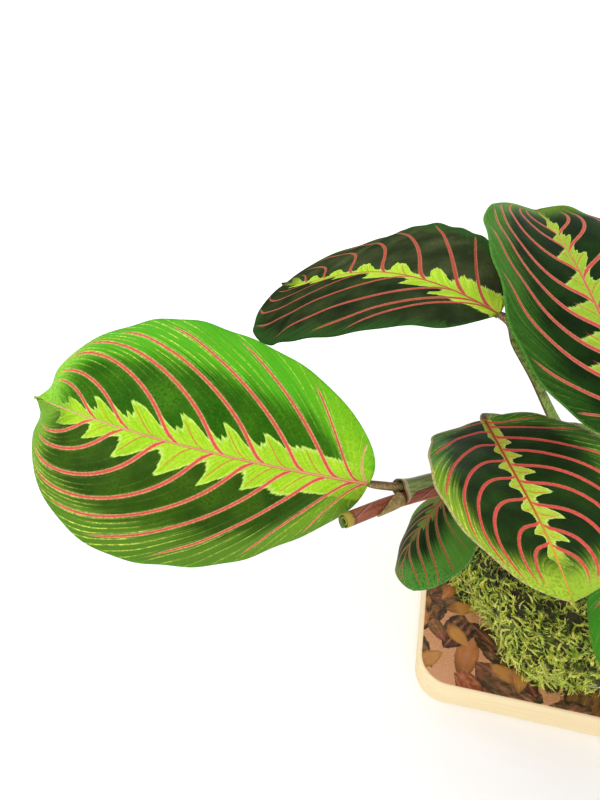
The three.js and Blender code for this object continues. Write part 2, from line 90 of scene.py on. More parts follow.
LEAVES = {
    "leaf_left_front": leaf(
        (-109.6, -78.4, 158.4), (204.5, 24, -82), (124, 84), (17, 61.5, 1, 32.5), (7, 12), (-12, -55),
        11, "bright", grid=(120, 72), nib=3.0, end=0.988),
    "leaf_left_back": leaf(
        (-73.9, -38, 208.9), (148, 10, -12), (131, 98.5), (79, -53, 2, -9), (18, 0), (-35, -18),
        2.5, "dusky", grid=(108, 64), roots=WIDE_ROOTS, trim={"left": ((0.05, 0.06, 0.25),), "right": ()}),
    "leaf_top": leaf(
        (-19.5, -56.5, 181.1), (138, 46, -47), (105.5, 80), (54, 9, -8.5, 30), (19, 9), (26, -54),
        8, "deep", grid=(100, 64), wave=1.5,
        bumps=(("right", 0.956, 0.022, 1.7), ("left", 0.87, 0.05, -1.0))),
    "leaf_front": leaf(
        (-68, -33.4, 156.7), (-79, 14.5, 7), (91.5, 65.5), (4.5, 25, 4, -9.5), (27, 3.5), (-10.5, 22),
        7.5, "limed", grid=(100, 64), end=0.985, run={"left": (1.0, 1.0), "right": (-0.1, 1.4)},
        trim={"left": ((0.975, 0.03, -0.3),),
              "right": ((0.07, 0.06, -0.12), (0.2, 0.06, 0.09), (0.975, 0.03, -0.2))}),
    "leaf_low_left": leaf(
        (-76.1, -26.4, 101.9), (-109, 5.5, 15), (52, 44.5), (29, 28, 1.5, 15), (0, -12), (-30, -49),
        7.5, "dull_and_shaded", roots=SWEPT_ROOTS, end=0.978, skew=-0.7,
        run={"left": (5.0, 0.8), "right": (1.3, 0.6)}),
    "leaf_low_front": leaf(
        (-1.9, -57.6, 118.2), (-88, 16.5, -14), (84, 60.5), (25, 9.5, -0.5, -2), (8, 9), (-25, -21),
        7, "leafy"),
    "leaf_right_front": leaf(
        (66, -46, 138), (-40, 18, 8), (112, 80), (42, 10, 5, 6), (9, 9), (-25, -20), 8, "leafy"),
    "leaf_right": leaf(
        (84, 8, 164), (8, 22, -6), (118, 83), (46, 12, -4, -8), (8, 10), (-22, -28), 8, "deep"),
    "leaf_right_back": leaf(
        (62, 58, 150), (44, 20, 5), (106, 76), (44, 14, 3, 4), (8, 8), (-24, -24), 8, "bright"),
    "leaf_back": leaf(
        (20, 74, 160), (74, 20, -4), (104, 72), (52, 12, -5, 5), (9, 8), (-26, -22), 7, "leafy"),
    "leaf_inner_back": leaf(
        (-12, 38, 148), (106, 30, 6), (72, 51), (44, 10, 3, -5), (10, 10), (-22, -24),
        6, "dusky", grid=(64, 40)),
    "leaf_crown": leaf(
        (40, -4, 196), (-14, 34, 10), (104, 74), (50, 10, 4, -6), (8, 9), (-20, -24), 8, "limed"),
    "leaf_young_back": leaf(
        (38, 40, 172), (56, 34, 8), (78, 54), (42, 10, -4, 6), (10, 10), (-20, -24),
        6, "bright", grid=(64, 40)),
    "leaf_low_right": leaf(
        (72, -14, 104), (-14, 8, 4), (70, 52), (30, 10, 4, 4), (9, 9), (-24, -24), 6, "dull_and_shaded", grid=(64, 40)),
    "leaf_low_back": leaf(
        (30, 64, 104), (66, 8, -6), (74, 54), (32, 10, -4, 4), (9, 9), (-24, -24), 6, "deep", grid=(64, 40)),
}

# Leafy stems, as in the solids, and the small branches that leave them. joint is the length of the
# swollen joint behind the leaf.
STEMS = {
    "stem_left": {
        "foot": (-15, -9), "leaf": "leaf_left_front", "joint": 18.5,
        "radii": (3.1, 2.9, 2.7, 2.5, 2.3, 2.0, 1.6, 1.25),
        "via": ((-32, -17, 109), (-50, -28, 122), (-69.7, -42.2, 132.4), (-84.1, -55.6, 142.3),
                (-95.8, -67.4, 148.2)),
        "branch": {"from": (-58, -33.5, 126.2), "via": ((-70, -45.5, 131.5), (-78.5, -55, 137.3)),
                   "end": (-84, -60.9, 141.3), "radii": (1.9, 1.8, 1.7)}},
    "stem_low_left": {
        "foot": (-22, 4), "leaf": "leaf_low_left", "radii": (2.4, 2.2, 1.8, 1.5, 1.3),
        "via": ((-44, -1, 104), (-66, -10, 108))},
    "stem_left_back": {
        "foot": (-9, 1), "leaf": "leaf_left_back", "joint": 8, "radii": (3.3, 3.2, 3.1, 2.5, 2, 1.5, 1.3),
        "via": ((-23, -12, 127), (-39.6, -20.8, 152.6), (-53.5, -26.5, 176), (-65.1, -33.6, 195))},
    "stem_front": {
        "foot": (1, -10), "leaf": "leaf_front", "joint": 7, "radii": (2.8, 2.6, 2.3, 2.1, 1.9, 1.6, 1.25),
        "via": ((-3, -3, 113), (-11, 1.5, 127.5), (-23, -2, 134.5), (-38, -10.5, 139),
                (-52, -18, 145.5), (-61.8, -24, 152))},
    "stem_top": {
        "foot": (11, -13), "leaf": "leaf_top", "radii": (3.2, 3, 2.7, 2.4, 2, 1.6, 1.4),
        "via": ((7, -30, 125), (-8, -54, 164), (-15, -60, 175.5))},
    "stem_low_front": {
        "foot": (6, -25), "leaf": "leaf_low_front", "radii": (2.6, 2.4, 2, 1.7, 1.4),
        "via": ((4, -38, 108),)},
    "stem_right_front": {
        "foot": (20, -11), "leaf": "leaf_right_front", "radii": (3, 2.8, 2.4, 2, 1.6, 1.5),
        "via": ((35, -23, 115), (52, -36, 131))},
    "stem_right": {
        "foot": (22, 3), "leaf": "leaf_right", "radii": (3.2, 3, 2.6, 2.2, 1.8, 1.5),
        "via": ((44, 5, 124), (68, 6.5, 152)),
        "branch": {"from": (29, 3.5, 106), "via": ((48, -3, 110),), "leaf": "leaf_low_right",
                   "radii": (1.8, 1.6, 1.3)}},
    "stem_right_back": {
        "foot": (15, 14), "leaf": "leaf_right_back", "radii": (3.2, 3, 2.5, 2.1, 1.7, 1.5),
        "via": ((32, 29, 118), (50, 46, 140)),
        "branch": {"from": (31, 28, 116.5), "via": ((32, 32, 145), (34.5, 35.5, 166)),
                   "leaf": "leaf_young_back", "radii": (1.9, 1.6, 1.4, 1.2)}},
    "stem_back": {
        "foot": (3, 17), "leaf": "leaf_back", "radii": (3, 2.8, 2.4, 2, 1.6, 1.5),
        "via": ((7, 38, 124), (14, 60, 151)),
        "branch": {"from": (4.5, 25, 106), "via": ((16, 42, 108),), "leaf": "leaf_low_back",
                   "radii": (1.8, 1.6, 1.3)}},
    "stem_inner_back": {
        "foot": (-9, 15), "leaf": "leaf_inner_back", "radii": (2.7, 2.4, 2, 1.7, 1.4),
        "via": ((-10, 24, 120), (-11.5, 33, 140))},
    "stem_crown": {
        "foot": (7, 3), "leaf": "leaf_crown", "radii": (3.2, 3, 2.7, 2.3, 1.9, 1.6, 1.4),
        "via": ((15, 2, 135), (27, -1, 170), (34, -2.5, 188))},
}
ROLLED_LEAF = {"foot": (-84.4, -61.3, 141.5), "tip": (-115.4, -93.2, 153.5), "bow": 1.5,
               "radius": (1.2, 3.3), "turns": 1.9, "first_turn": 2.2, "wall": 0.5, "foot_share": 0.92}


# Finishes: values and their arithmetic

def colour(code):
    """A colour written as six hexadecimal digits, as the renderer's own linear red, green and blue."""
    shares = [int(code[i:i + 2], 16) / 255 for i in (0, 2, 4)]
    linear = [c / 12.92 if c <= 0.04045 else ((c + 0.055) / 1.055) ** 2.4 for c in shares]
    return (*linear, 1.0)


BLACK = (0.0, 0.0, 0.0, 1.0)


class Tone:
    """A number or colour that varies over a finish. Arithmetic on it adds the nodes that work it out."""

    def __init__(self, finish, socket):
        self.finish = finish
        self.socket = socket

    def math(self, operation, *values):
        return self.finish.node("ShaderNodeMath", {"operation": operation}, dict(enumerate(values)))

    def __add__(self, other):
        return self.math("ADD", self, other)

    def __radd__(self, other):
        return self.math("ADD", other, self)

    def __sub__(self, other):
        return self.math("SUBTRACT", self, other)

    def __rsub__(self, other):
        return self.math("SUBTRACT", other, self)

    def __mul__(self, other):
        return self.math("MULTIPLY", self, other)

    def __rmul__(self, other):
        return self.math("MULTIPLY", other, self)

    def __truediv__(self, other):
        return self.math("DIVIDE", self, other)

    def __mod__(self, other):
        return self.math("FLOORED_MODULO", self, other)

    def __abs__(self):
        return self.math("ABSOLUTE", self)

    def least(self, other):
        return self.math("MINIMUM", self, other)

    def most(self, other):
        return self.math("MAXIMUM", self, other)

    def ramp(self, low, high):
        """0 below low and 1 above high, smooth between. Low may be the larger of the two."""
        return self.finish.node(
            "ShaderNodeMapRange", {"interpolation_type": "SMOOTHSTEP"},
            {"Value": self, "From Min": low, "From Max": high, "To Min": 0.0, "To Max": 1.0})


class Finish:
    """One material. Its node method makes every node but the arithmetic of Tone."""

    def __init__(self, name, roughness=0.5, sheen=0.0, specular=0.5):
        self.material = bpy.data.materials.new(name)
        self.material.use_nodes = True
        self.tree = self.material.node_tree
        self.shader = self.tree.nodes["Principled BSDF"]
        self.shader.inputs["Roughness"].default_value = roughness
        self.shader.inputs["Sheen Weight"].default_value = sheen
        self.shader.inputs["Specular IOR Level"].default_value = specular

    def feed(self, socket, value):
        if isinstance(value, Tone):
            self.tree.links.new(value.socket, socket)
        else:
            socket.default_value = value

    def node(self, kind, settings=None, sockets=None, output=0):
        made = self.tree.nodes.new(kind)
        for key, value in (settings or {}).items():
            if key == "stops":
                elements = made.color_ramp.elements
                for index, (place, tint) in enumerate(value):
                    stop = elements[index] if index < 2 else elements.new(place)
                    stop.position = place
                    stop.color = tint if isinstance(tint, tuple) else (tint, tint, tint, 1.0)
            else:
                setattr(made, key, value)
        for key, value in (sockets or {}).items():
            self.feed(made.inputs[key], value)
        return Tone(self, made.outputs[output])

    def mix(self, share, first, second):
        """The first colour where share is 0, and the second where it is 1."""
        return self.node("ShaderNodeMix", {"data_type": "RGBA"}, {0: share, 6: first, 7: second}, 2)

    def shades(self, share, first, second):
        """Two colours, written as digits, mixed by a share."""
        return self.mix(share, colour(first), colour(second))

    def over(self, tint, *layers):
        """A tint with layers laid on it, each the share that it covers and its colour as digits."""
        for share, code in layers:
            tint = self.mix(share, tint, colour(code))
        return tint

    def split(self, vector):
        made = self.node("ShaderNodeSeparateXYZ", None, {0: vector}).socket.node
        return [Tone(self, output) for output in made.outputs]

    def join(self, x, y, z=0.0):
        return self.node("ShaderNodeCombineXYZ", None, {0: x, 1: y, 2: z})

    def attribute(self, name, output="Vector"):
        return self.node("ShaderNodeAttribute", {"attribute_name": name}, None, output)

    def place(self):
        """Where a point is on the object, in millimetres."""
        made = self.node("ShaderNodeTexCoord").socket.node
        return self.node("ShaderNodeVectorMath", {"operation": "SCALE"},
                         {0: Tone(self, made.outputs["Object"]), "Scale": 1 / MM})

    def noise(self, vector, scale=1.0, detail=2.0, roughness=0.5):
        return self.node("ShaderNodeTexNoise", None,
                         {"Vector": vector, "Scale": scale, "Detail": detail, "Roughness": roughness})

    def curve(self, value, stops):
        """A number or colour read off a list of (place, height or colour) stops."""
        return self.node("ShaderNodeValToRGB", {"stops": stops}, {"Fac": value})

    def coat(self, tint, roughness=None, height=None, depth=0.2):
        """Puts the colour, the roughness and the relief on the shader. Depth is in millimetres."""
        self.feed(self.shader.inputs["Base Color"], tint)
        if roughness is not None:
            self.feed(self.shader.inputs["Roughness"], roughness)
        if height is not None:
            bump = self.node("ShaderNodeBump", None,
                             {"Height": height, "Distance": depth * MM, "Strength": 1.0})
            self.feed(self.shader.inputs["Normal"], bump)
        return self.material


# Meshes

def make_piece(name, points, faces, finishes, smooth=True, slots=None):
    """A mesh object from points in millimetres. slots gives each face the number of its finish."""
    mesh = bpy.data.meshes.new(name)
    mesh.from_pydata((np.asarray(points, float) * MM).tolist(), [], faces)
    for finish in finishes:
        mesh.materials.append(finish)
    if slots is not None:
        mesh.polygons.foreach_set("material_index", np.asarray(slots, np.int32))
    mesh.polygons.foreach_set("use_smooth", np.full(len(mesh.polygons), smooth))
    mesh.update()
    piece = bpy.data.objects.new(name, mesh)
    bpy.context.scene.collection.objects.link(piece)
    return piece


def set_point_values(piece, name, values):
    """Stores one number, or one row of three, for each point of a mesh."""
    values = np.asarray(values, np.float32)
    kind, key = ("FLOAT_VECTOR", "vector") if values.ndim == 2 else ("FLOAT", "value")
    store = piece.data.attributes.new(name, kind, "POINT")
    store.data.foreach_set(key, values.ravel())


def set_corner_values(piece, name, rows):
    """Stores one row of three numbers for each face corner of a mesh."""
    store = piece.data.attributes.new(name, "FLOAT_VECTOR", "CORNER")
    store.data.foreach_set("vector", np.asarray(rows, np.float32).ravel())


def dress(piece, slot, *nodes):
    """Attaches a piece to the root body and hides the solids that it stands for. slot is not used."""
    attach(piece, "root")
    if nodes:
        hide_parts(*nodes)
    return piece


def sheet_faces(rows, columns):
    """Faces that close a grid of points, and the same grid behind it, into a thin solid: those of its
    front, its back and its rim."""
    count = rows * columns
    first = (np.arange(rows - 1)[:, None] * columns + np.arange(columns - 1)).ravel()
    front = np.stack([first, first + columns, first + columns + 1, first + 1], 1)
    back = front[:, [0, 3, 2, 1]] + count
    edge = [k * columns for k in range(rows)] + [(rows - 1) * columns + j for j in range(1, columns)]
    edge += [(k + 1) * columns - 1 for k in range(rows - 2, -1, -1)] + list(range(columns - 2, 0, -1))
    rim = np.array([(p, p + count, q + count, q) for p, q in zip(edge, edge[1:] + edge[:1])])
    return front, back, rim


def ring_faces(rings, sides, start=0):
    """Faces between rings of points, each ring closed on itself."""
    faces = []
    for k in range(rings - 1):
        for j in range(sides):
            a, b = start + k * sides + j, start + k * sides + (j + 1) % sides
            faces.append((a, b, b + sides, a + sides))
    return faces


def unit(rows):
    return rows / np.maximum(np.linalg.norm(rows, axis=-1, keepdims=True), 1e-12)


def turned(vector, axis, angle):
    return (vector * math.cos(angle) + np.cross(axis, vector) * math.sin(angle)
            + axis * np.dot(axis, vector) * (1 - math.cos(angle)))


def around(angle, first, second):
    """The direction at an angle from the first of two directions towards the second."""
    return np.cos(angle) * first + np.sin(angle) * second


def between(pair, share):
    return pair[0] + (pair[1] - pair[0]) * share


def step_between(low, high, values):
    """0 below low and 1 above high, smooth between."""
    share = np.clip((values - low) / (high - low), 0, 1)
    return share * share * (3 - 2 * share)


def hill(distance, spread):
    """1 where the distance is nothing, falling off smoothly."""
    return np.exp(-(distance / spread) ** 2)


def rows_at(marks, known, rows):
    """Rows of numbers read off at marks, between those at known marks."""
    return np.stack([np.interp(marks, known, column) for column in rows.T], -1)


# Leaf blades

# How veins lie on a blade: what vein numbers go up by before the first root and past the last one,
# the spaces between veins, and the blade width that the reach and line of LOOKS are for
VEINS = {"before": 0.06, "past": 0.11, "spaces": (0.8, 16.0), "blade_width": 84.0, "taper": 0.62}
# Places on the midrib, from before its base to its tip, that the veins are worked out from
VEIN_STARTS = np.linspace(-0.8, 1, 700)
# Each half of a leaf draws how far its pale lobes reach, as shares of the reach in LOOKS
LOBE_LUCK = (0.86, 1.12, 16)
FIRST_LEAF_SEED = 100
# Heights of the swelling between veins, the edge's waves, the groove over the midrib and the keels below
SWELL, EDGE_WAVE, GROOVE, VEIN_KEEL = 0.55, 0.8, 0.35, 0.25
WAVES_PER_LENGTH = 17
NUDGE = 1e-3


def half_width(u, width, trim):
    """Half the width at a share of the length, with the changes that trim lists."""
    body = np.sin(np.pi * np.clip(u / BLADE["body"], 0, 1) ** BLADE["fullness"])
    tip = BLADE["tip_width"] * np.clip((1 - u) / BLADE["tip_width"], 0, 1)
    tip = tip * np.clip(u / BLADE["base_round"], 0, 1) ** 0.5
    share = np.maximum(np.maximum(body, 0) ** BLADE["roundness"], tip)
    for place, spread, change in trim:
        share = share * (1 + change * hill(u - place, spread))
    return np.maximum(0.5 * width * share, BLADE["tip"])


def leaf_axes(leaf):
    heading, pitch, roll = (math.radians(leaf[key]) for key in ("heading", "pitch", "roll"))
    level = np.array([math.cos(heading), math.sin(heading), 0.0])
    upright = np.array([0.0, 0.0, 1.0])
    forward = around(pitch, level, upright)
    up = turned(around(pitch, upright, -level), forward, roll)
    return forward, np.cross(up, forward), up


def midrib(leaf):
    """Places along the midrib, with the forward, left and up directions at each."""
    forward, left, up = leaf_axes(leaf)
    place = np.array(leaf["base"], float)
    count = BLADE["stations"]
    stations = [(place, forward, left, up)]
    sway, twist = (math.radians(leaf[key]) / count for key in ("sway", "twist"))
    for k in range(count):
        u = (k + 0.5) / count
        before = forward
        bend = math.radians(leaf["droop"] + 4 * leaf["hook"] * u ** 3) / count
        forward, up = turned(forward, left, bend), turned(up, left, bend)
        forward, left = turned(forward, up, sway), turned(left, up, sway)
        left, up = turned(left, forward, twist), turned(up, forward, twist)
        place = place + (before + forward) * 0.5 * leaf["length"] / count
        stations.append((place, forward, left, up))
    return [np.array(row) for row in zip(*stations)]


def blade_points(leaf, ribs, u, t):
    """Points on a blade's middle surface: u from stalk to tip, t from right edge to left edge."""
    places, forwards, lefts, ups = ribs
    reach = leaf["width"] / 2
    widths = (half_width(u, leaf["width"], leaf["trim"][half]) for half in ("left", "right"))
    side = np.abs(t) * np.where(t >= 0, *widths)
    x = u * leaf["length"] - leaf["lobe"] * (side / reach) * (1 - u) ** 3
    station = np.clip(x / leaf["length"], 0, 1) * BLADE["stations"]
    index = np.minimum(station.astype(int), BLADE["stations"] - 1)
    part = (station - index)[..., None]
    place, left, up = (rows[index] * (1 - part) + rows[index + 1] * part for rows in (places, lefts, ups))
    fold = np.radians(np.where(t >= 0, *leaf["fold"]))
    bend = np.radians(np.where(t >= 0, *leaf["curl"])) / reach
    outward = (np.sin(fold + bend * side) - np.sin(fold)) / bend
    rise = (np.cos(fold) - np.cos(fold + bend * side)) / bend
    return (place + np.minimum(x, 0)[..., None] * forwards[0]
            + (np.sign(t) * outward)[..., None] * left + rise[..., None] * up)


def blade_grid(leaf):
    """The u and t of a blade's grid. Its rows are closer at both ends, and its columns at the edges."""
    rows, columns = leaf["grid"]
    u = leaf["end"] * (0.5 - 0.5 * np.cos(np.pi * np.arange(rows + 1) / rows))
    marks = np.linspace(-1, 1, columns + 1)
    share = np.abs(marks)
    return np.meshgrid(u, np.sign(marks) * (0.25 * share + 0.75 * share ** 0.85), indexing="ij")


def blade_surface(leaf, u, t):
    """Points of a blade's middle surface, and the directions that its upper side faces there."""
    ribs = midrib(leaf)
    du, dt = np.where(u > 0.5, -NUDGE, NUDGE), np.where(t > 0, -NUDGE, NUDGE)
    centre = blade_points(leaf, ribs, u, t)
    along = blade_points(leaf, ribs, u + du, t) - centre
    across = blade_points(leaf, ribs, u, t + dt) - centre
    return centre, unit(np.cross(along, across)) * (np.sign(du) * np.sign(dt))[..., None]


def vein_run(start, s, run):
    """Where along the blade (0 to 1) a vein is, s of the way from the midrib to the edge. run is how
    much it leans forward at the midrib and how much it sweeps forward toward the edge."""
    bend = run[0] * (0.22 + 0.35 * start + 3 * np.maximum(start - 0.5, 0) ** 2)
    sweep = run[1] * (3.2 * start + 77 * np.maximum(start - 0.55, 0) ** 2)
    hook = 0.024 * np.exp(-s / 0.05)
    return 1 - (1 - start) * np.exp(-(bend * s + sweep * s ** 3)) - hook


def vein_start(u, s, run):
    """Where on the midrib the vein through each place of a grid starts. s is the same down a column."""
    columns = [np.interp(u[:, k], vein_run(VEIN_STARTS, s[0, k], run), VEIN_STARTS)
               for k in range(u.shape[1])]
    return np.stack(columns, 1)


def vein_spacing(number, x, y):
    """The space between veins at each place of a grid, from how fast their numbers change."""
    along, across = np.gradient(number)
    xu, xs = np.gradient(x)
    yu, ys = np.gradient(y)
    area = xu * ys - xs * yu
    area = np.where(np.abs(area) < 1e-6, 1e-6, area)
    change = np.hypot((along * ys - across * yu) / area, (across * xu - along * xs) / area)
    return np.clip(1 / np.maximum(change, 1e-3), *VEINS["spaces"])


def half_pattern(leaf, u, s, half, share, luck):
    """How the veins and the pale zone lie on one half of a blade, for each place of a grid. share is
    how much of the half's own width the pattern has.
    Gives the vein number and the share of the way out, then the space between veins, the share of
    the pale zone's reach, the half width of the vein line and the distance from the midrib."""
    look = LOOKS[leaf["look"]]
    roots = np.array(leaf["roots"][half])
    start = vein_start(u, s, leaf["run"][half])
    number = np.interp(start, roots, np.arange(len(roots), dtype=float))
    number += np.minimum(start - roots[0], 0) / VEINS["before"]
    number += np.maximum(start - roots[-1], 0) / VEINS["past"]
    y = s * half_width(u, leaf["width"], leaf["trim"][half]) * share
    x = u * leaf["length"] - leaf["lobe"] * (2 * y / leaf["width"]) * (1 - u) ** 3
    size = leaf["width"] / VEINS["blade_width"]
    reach = np.interp(start, *zip(*look["reach"][half])) * size
    reach = reach * luck[np.clip(np.floor(number).astype(int) + 2, 0, len(luck) - 1)]
    line = look["vein_half"] * (1 - VEINS["taper"] * s ** 1.2)
    line = line * np.interp(start, (0, 0.08, 0.6, 0.85), (0.6, 1, 0.9, 0.6))
    line = line * size ** 0.5 * (1 - step_between(0.84, 0.95, s)) * (1 - step_between(0.86, 0.95, u))
    line = line * (number > -0.5) * (number < len(roots) - 0.5)
    return number, s, vein_spacing(number, x, y), y / reach, line, y


def edge_waves(leaf, u, s, left, starts):
    """How far a blade's edge waves up and down."""
    turns = FULL_TURN * u * leaf["length"] / WAVES_PER_LENGTH
    ripple = np.where(left, np.sin(turns / 2.6 + starts[0]), np.sin(turns / 2.9 + starts[1]))
    ripple = ripple + 0.5 * np.sin(turns + starts[2])
    return EDGE_WAVE * leaf["wave"] * s ** 3 * np.sin(np.pi * u) ** 0.5 * ripple


def blade_relief(leaf, u, s, left, pattern, draws):
    """How far a blade stands above its middle surface, swelling between the veins, and how far the
    midrib and the veins stand out below it."""
    number, _, spacing, _, _, y = pattern
    phase = number - np.floor(number)
    away = step_between(0.02, 0.3, s) * (1 - step_between(0.75, 1.0, s))
    lift = SWELL * np.abs(np.sin(np.pi * phase)) ** 0.8 * np.minimum(spacing, 12) / 12 * away
    lift = lift + edge_waves(leaf, u, s, left, draws.uniform(0, 6, 4)) - GROOVE * hill(y, 1.1) * (1 - u)
    for half, place, spread, height in leaf["bumps"]:
        lift = lift + (left == (half == "left")) * height * s ** 1.5 * hill(u - place, spread)
    beak = hill(y, 2.2) - 0.45 * hill(y - 6.5, 3.2)
    lift = lift + leaf["nib"] * beak * step_between(0.93, 0.985, u)
    near = np.minimum(phase, 1 - phase) * spacing
    return lift, (1.1 - 0.8 * u) * hill(y, 1.0) + VEIN_KEEL * hill(near, 0.9) * away


def store_patterns(piece, faces, patterns, index, columns, count):
    """Stores the pattern on the face corners. Each half keeps its own vein numbers up to the midrib."""
    corners = faces % count
    on_left = (faces[:, 0] % columns >= columns // 2)[:, None, None]
    values = {}
    for half, first in (("left", 0), ("right", RIGHT_HALF)):
        number, out, spacing, reach, line, y = (value.ravel()[corners] for value in patterns[half])
        values[half] = {"veins": (number + LEAF_SPAN * index + first, out, spacing), "zone": (reach, line, y)}
    for key in ("veins", "zone"):
        rows = np.where(on_left, *(np.stack(values[half][key], -1) for half in ("left", "right")))
        set_corner_values(piece, key, rows.reshape(-1, 3))


def leaf_piece(name, leaf, index):
    """A blade of even thickness with a thin rim, its midrib and veins standing out below."""
    u, t = blade_grid(leaf)
    s = np.abs(t)
    left = t >= 0
    draws = np.random.default_rng(FIRST_LEAF_SEED + index)
    skew = leaf["skew"] * u ** 1.3
    patterns = {half: half_pattern(leaf, u, s, half, share, draws.uniform(*LOBE_LUCK))
                for half, share in (("left", 1 - skew), ("right", 1 + skew))}
    pattern = [np.where(left, a, b) for a, b in zip(patterns["left"], patterns["right"])]
    lift, keel = blade_relief(leaf, u, s, left, pattern, draws)
    centre, normal = blade_surface(leaf, u, skew + t * np.where(left, 1 - skew, 1 + skew))
    thick = (BLADE["thickness"] + (BLADE["rim"] - BLADE["thickness"]) * step_between(0.85, 1, s)) / 2
    sides = [centre + height[..., None] * normal for height in (lift + thick, lift - thick - keel)]
    front, back, rim = sheet_faces(*u.shape)
    faces = np.concatenate([front, back, rim])
    points = np.concatenate([side.reshape(-1, 3) for side in sides])
    slots = np.repeat([0, 1, 0], [len(front), len(back), len(rim)])
    piece = make_piece(name, points, faces.tolist(), LEAF_FINISHES[leaf["look"]], slots=slots)
    store_patterns(piece, faces, patterns, index, u.shape[1], u.size)
    set_point_values(piece, "length_share", np.tile(u.ravel(), 2))
    return piece


# Leaf finishes

# The edge of the pale zone between one vein (0) and the next (1), as shares of its reach
ROUND_LOBES = ((0.0, 0.6), (0.05, 0.46), (0.1, 0.42), (0.16, 0.62), (0.26, 0.84), (0.4, 0.94), (0.48, 0.9),
               (0.54, 0.62), (0.62, 0.52), (0.7, 0.6), (0.76, 0.42), (0.86, 0.5), (0.94, 0.72),
               (0.97, 0.76), (1.0, 0.6))
STEEP_LOBES = ((0.0, 0.56), (0.06, 0.5), (0.13, 0.66), (0.25, 0.86), (0.36, 1.02), (0.42, 1.0), (0.52, 0.76),
               (0.65, 0.5), (0.8, 0.34), (0.88, 0.34), (0.95, 0.5), (1.0, 0.56))
KNOB_LOBES = ((0.0, 0.36), (0.08, 0.26), (0.2, 0.28), (0.28, 0.62), (0.36, 0.92), (0.46, 1.0), (0.6, 0.94),
              (0.7, 0.7), (0.78, 0.34), (0.9, 0.24), (1.0, 0.36))
WEDGE_LOBES = ((0.0, 0.7), (0.05, 1.0), (0.12, 0.96), (0.3, 0.78), (0.5, 0.6), (0.7, 0.4), (0.84, 0.24),
               (0.93, 0.24), (1.0, 0.7))
FINGER_LOBES = ((0.0, 0.5), (0.06, 0.45), (0.14, 0.62), (0.25, 0.86), (0.36, 1.0), (0.44, 0.96), (0.52, 0.62),
                (0.62, 0.38), (0.8, 0.28), (0.92, 0.32), (1.0, 0.5))

# What a kind of leaf has unless its own row says otherwise. Pairs of ends are where something starts and
# where it is full, in vein numbers for dark_from and flat and in shares of the way for the others. base
# is how much lime runs into the margin at the stalk and soft_base how softly the pale zone starts there,
# first how yellow the right half's first vein is, dull how dark the margin is near the stalk, broken how
# far the blotches part at the veins, jagged how rough the pale zone's edge is, flank how wide the pale
# sides of a vein are, and line_hidden and line_half how well the fine lines hide in the dark and their
# half width. turning is where the right half's margin takes its own colour.
PLAIN_LOOK = {
    "base": 0.0, "soft_base": 0.0, "first": 0.0, "dull": 0.0, "broken": 0.0, "jagged": 0.22, "flank": 0.2,
    "line_hidden": 1.1, "line_half": 0.14, "turning": (-1.0, -0.5), "tip_left": 1.0}
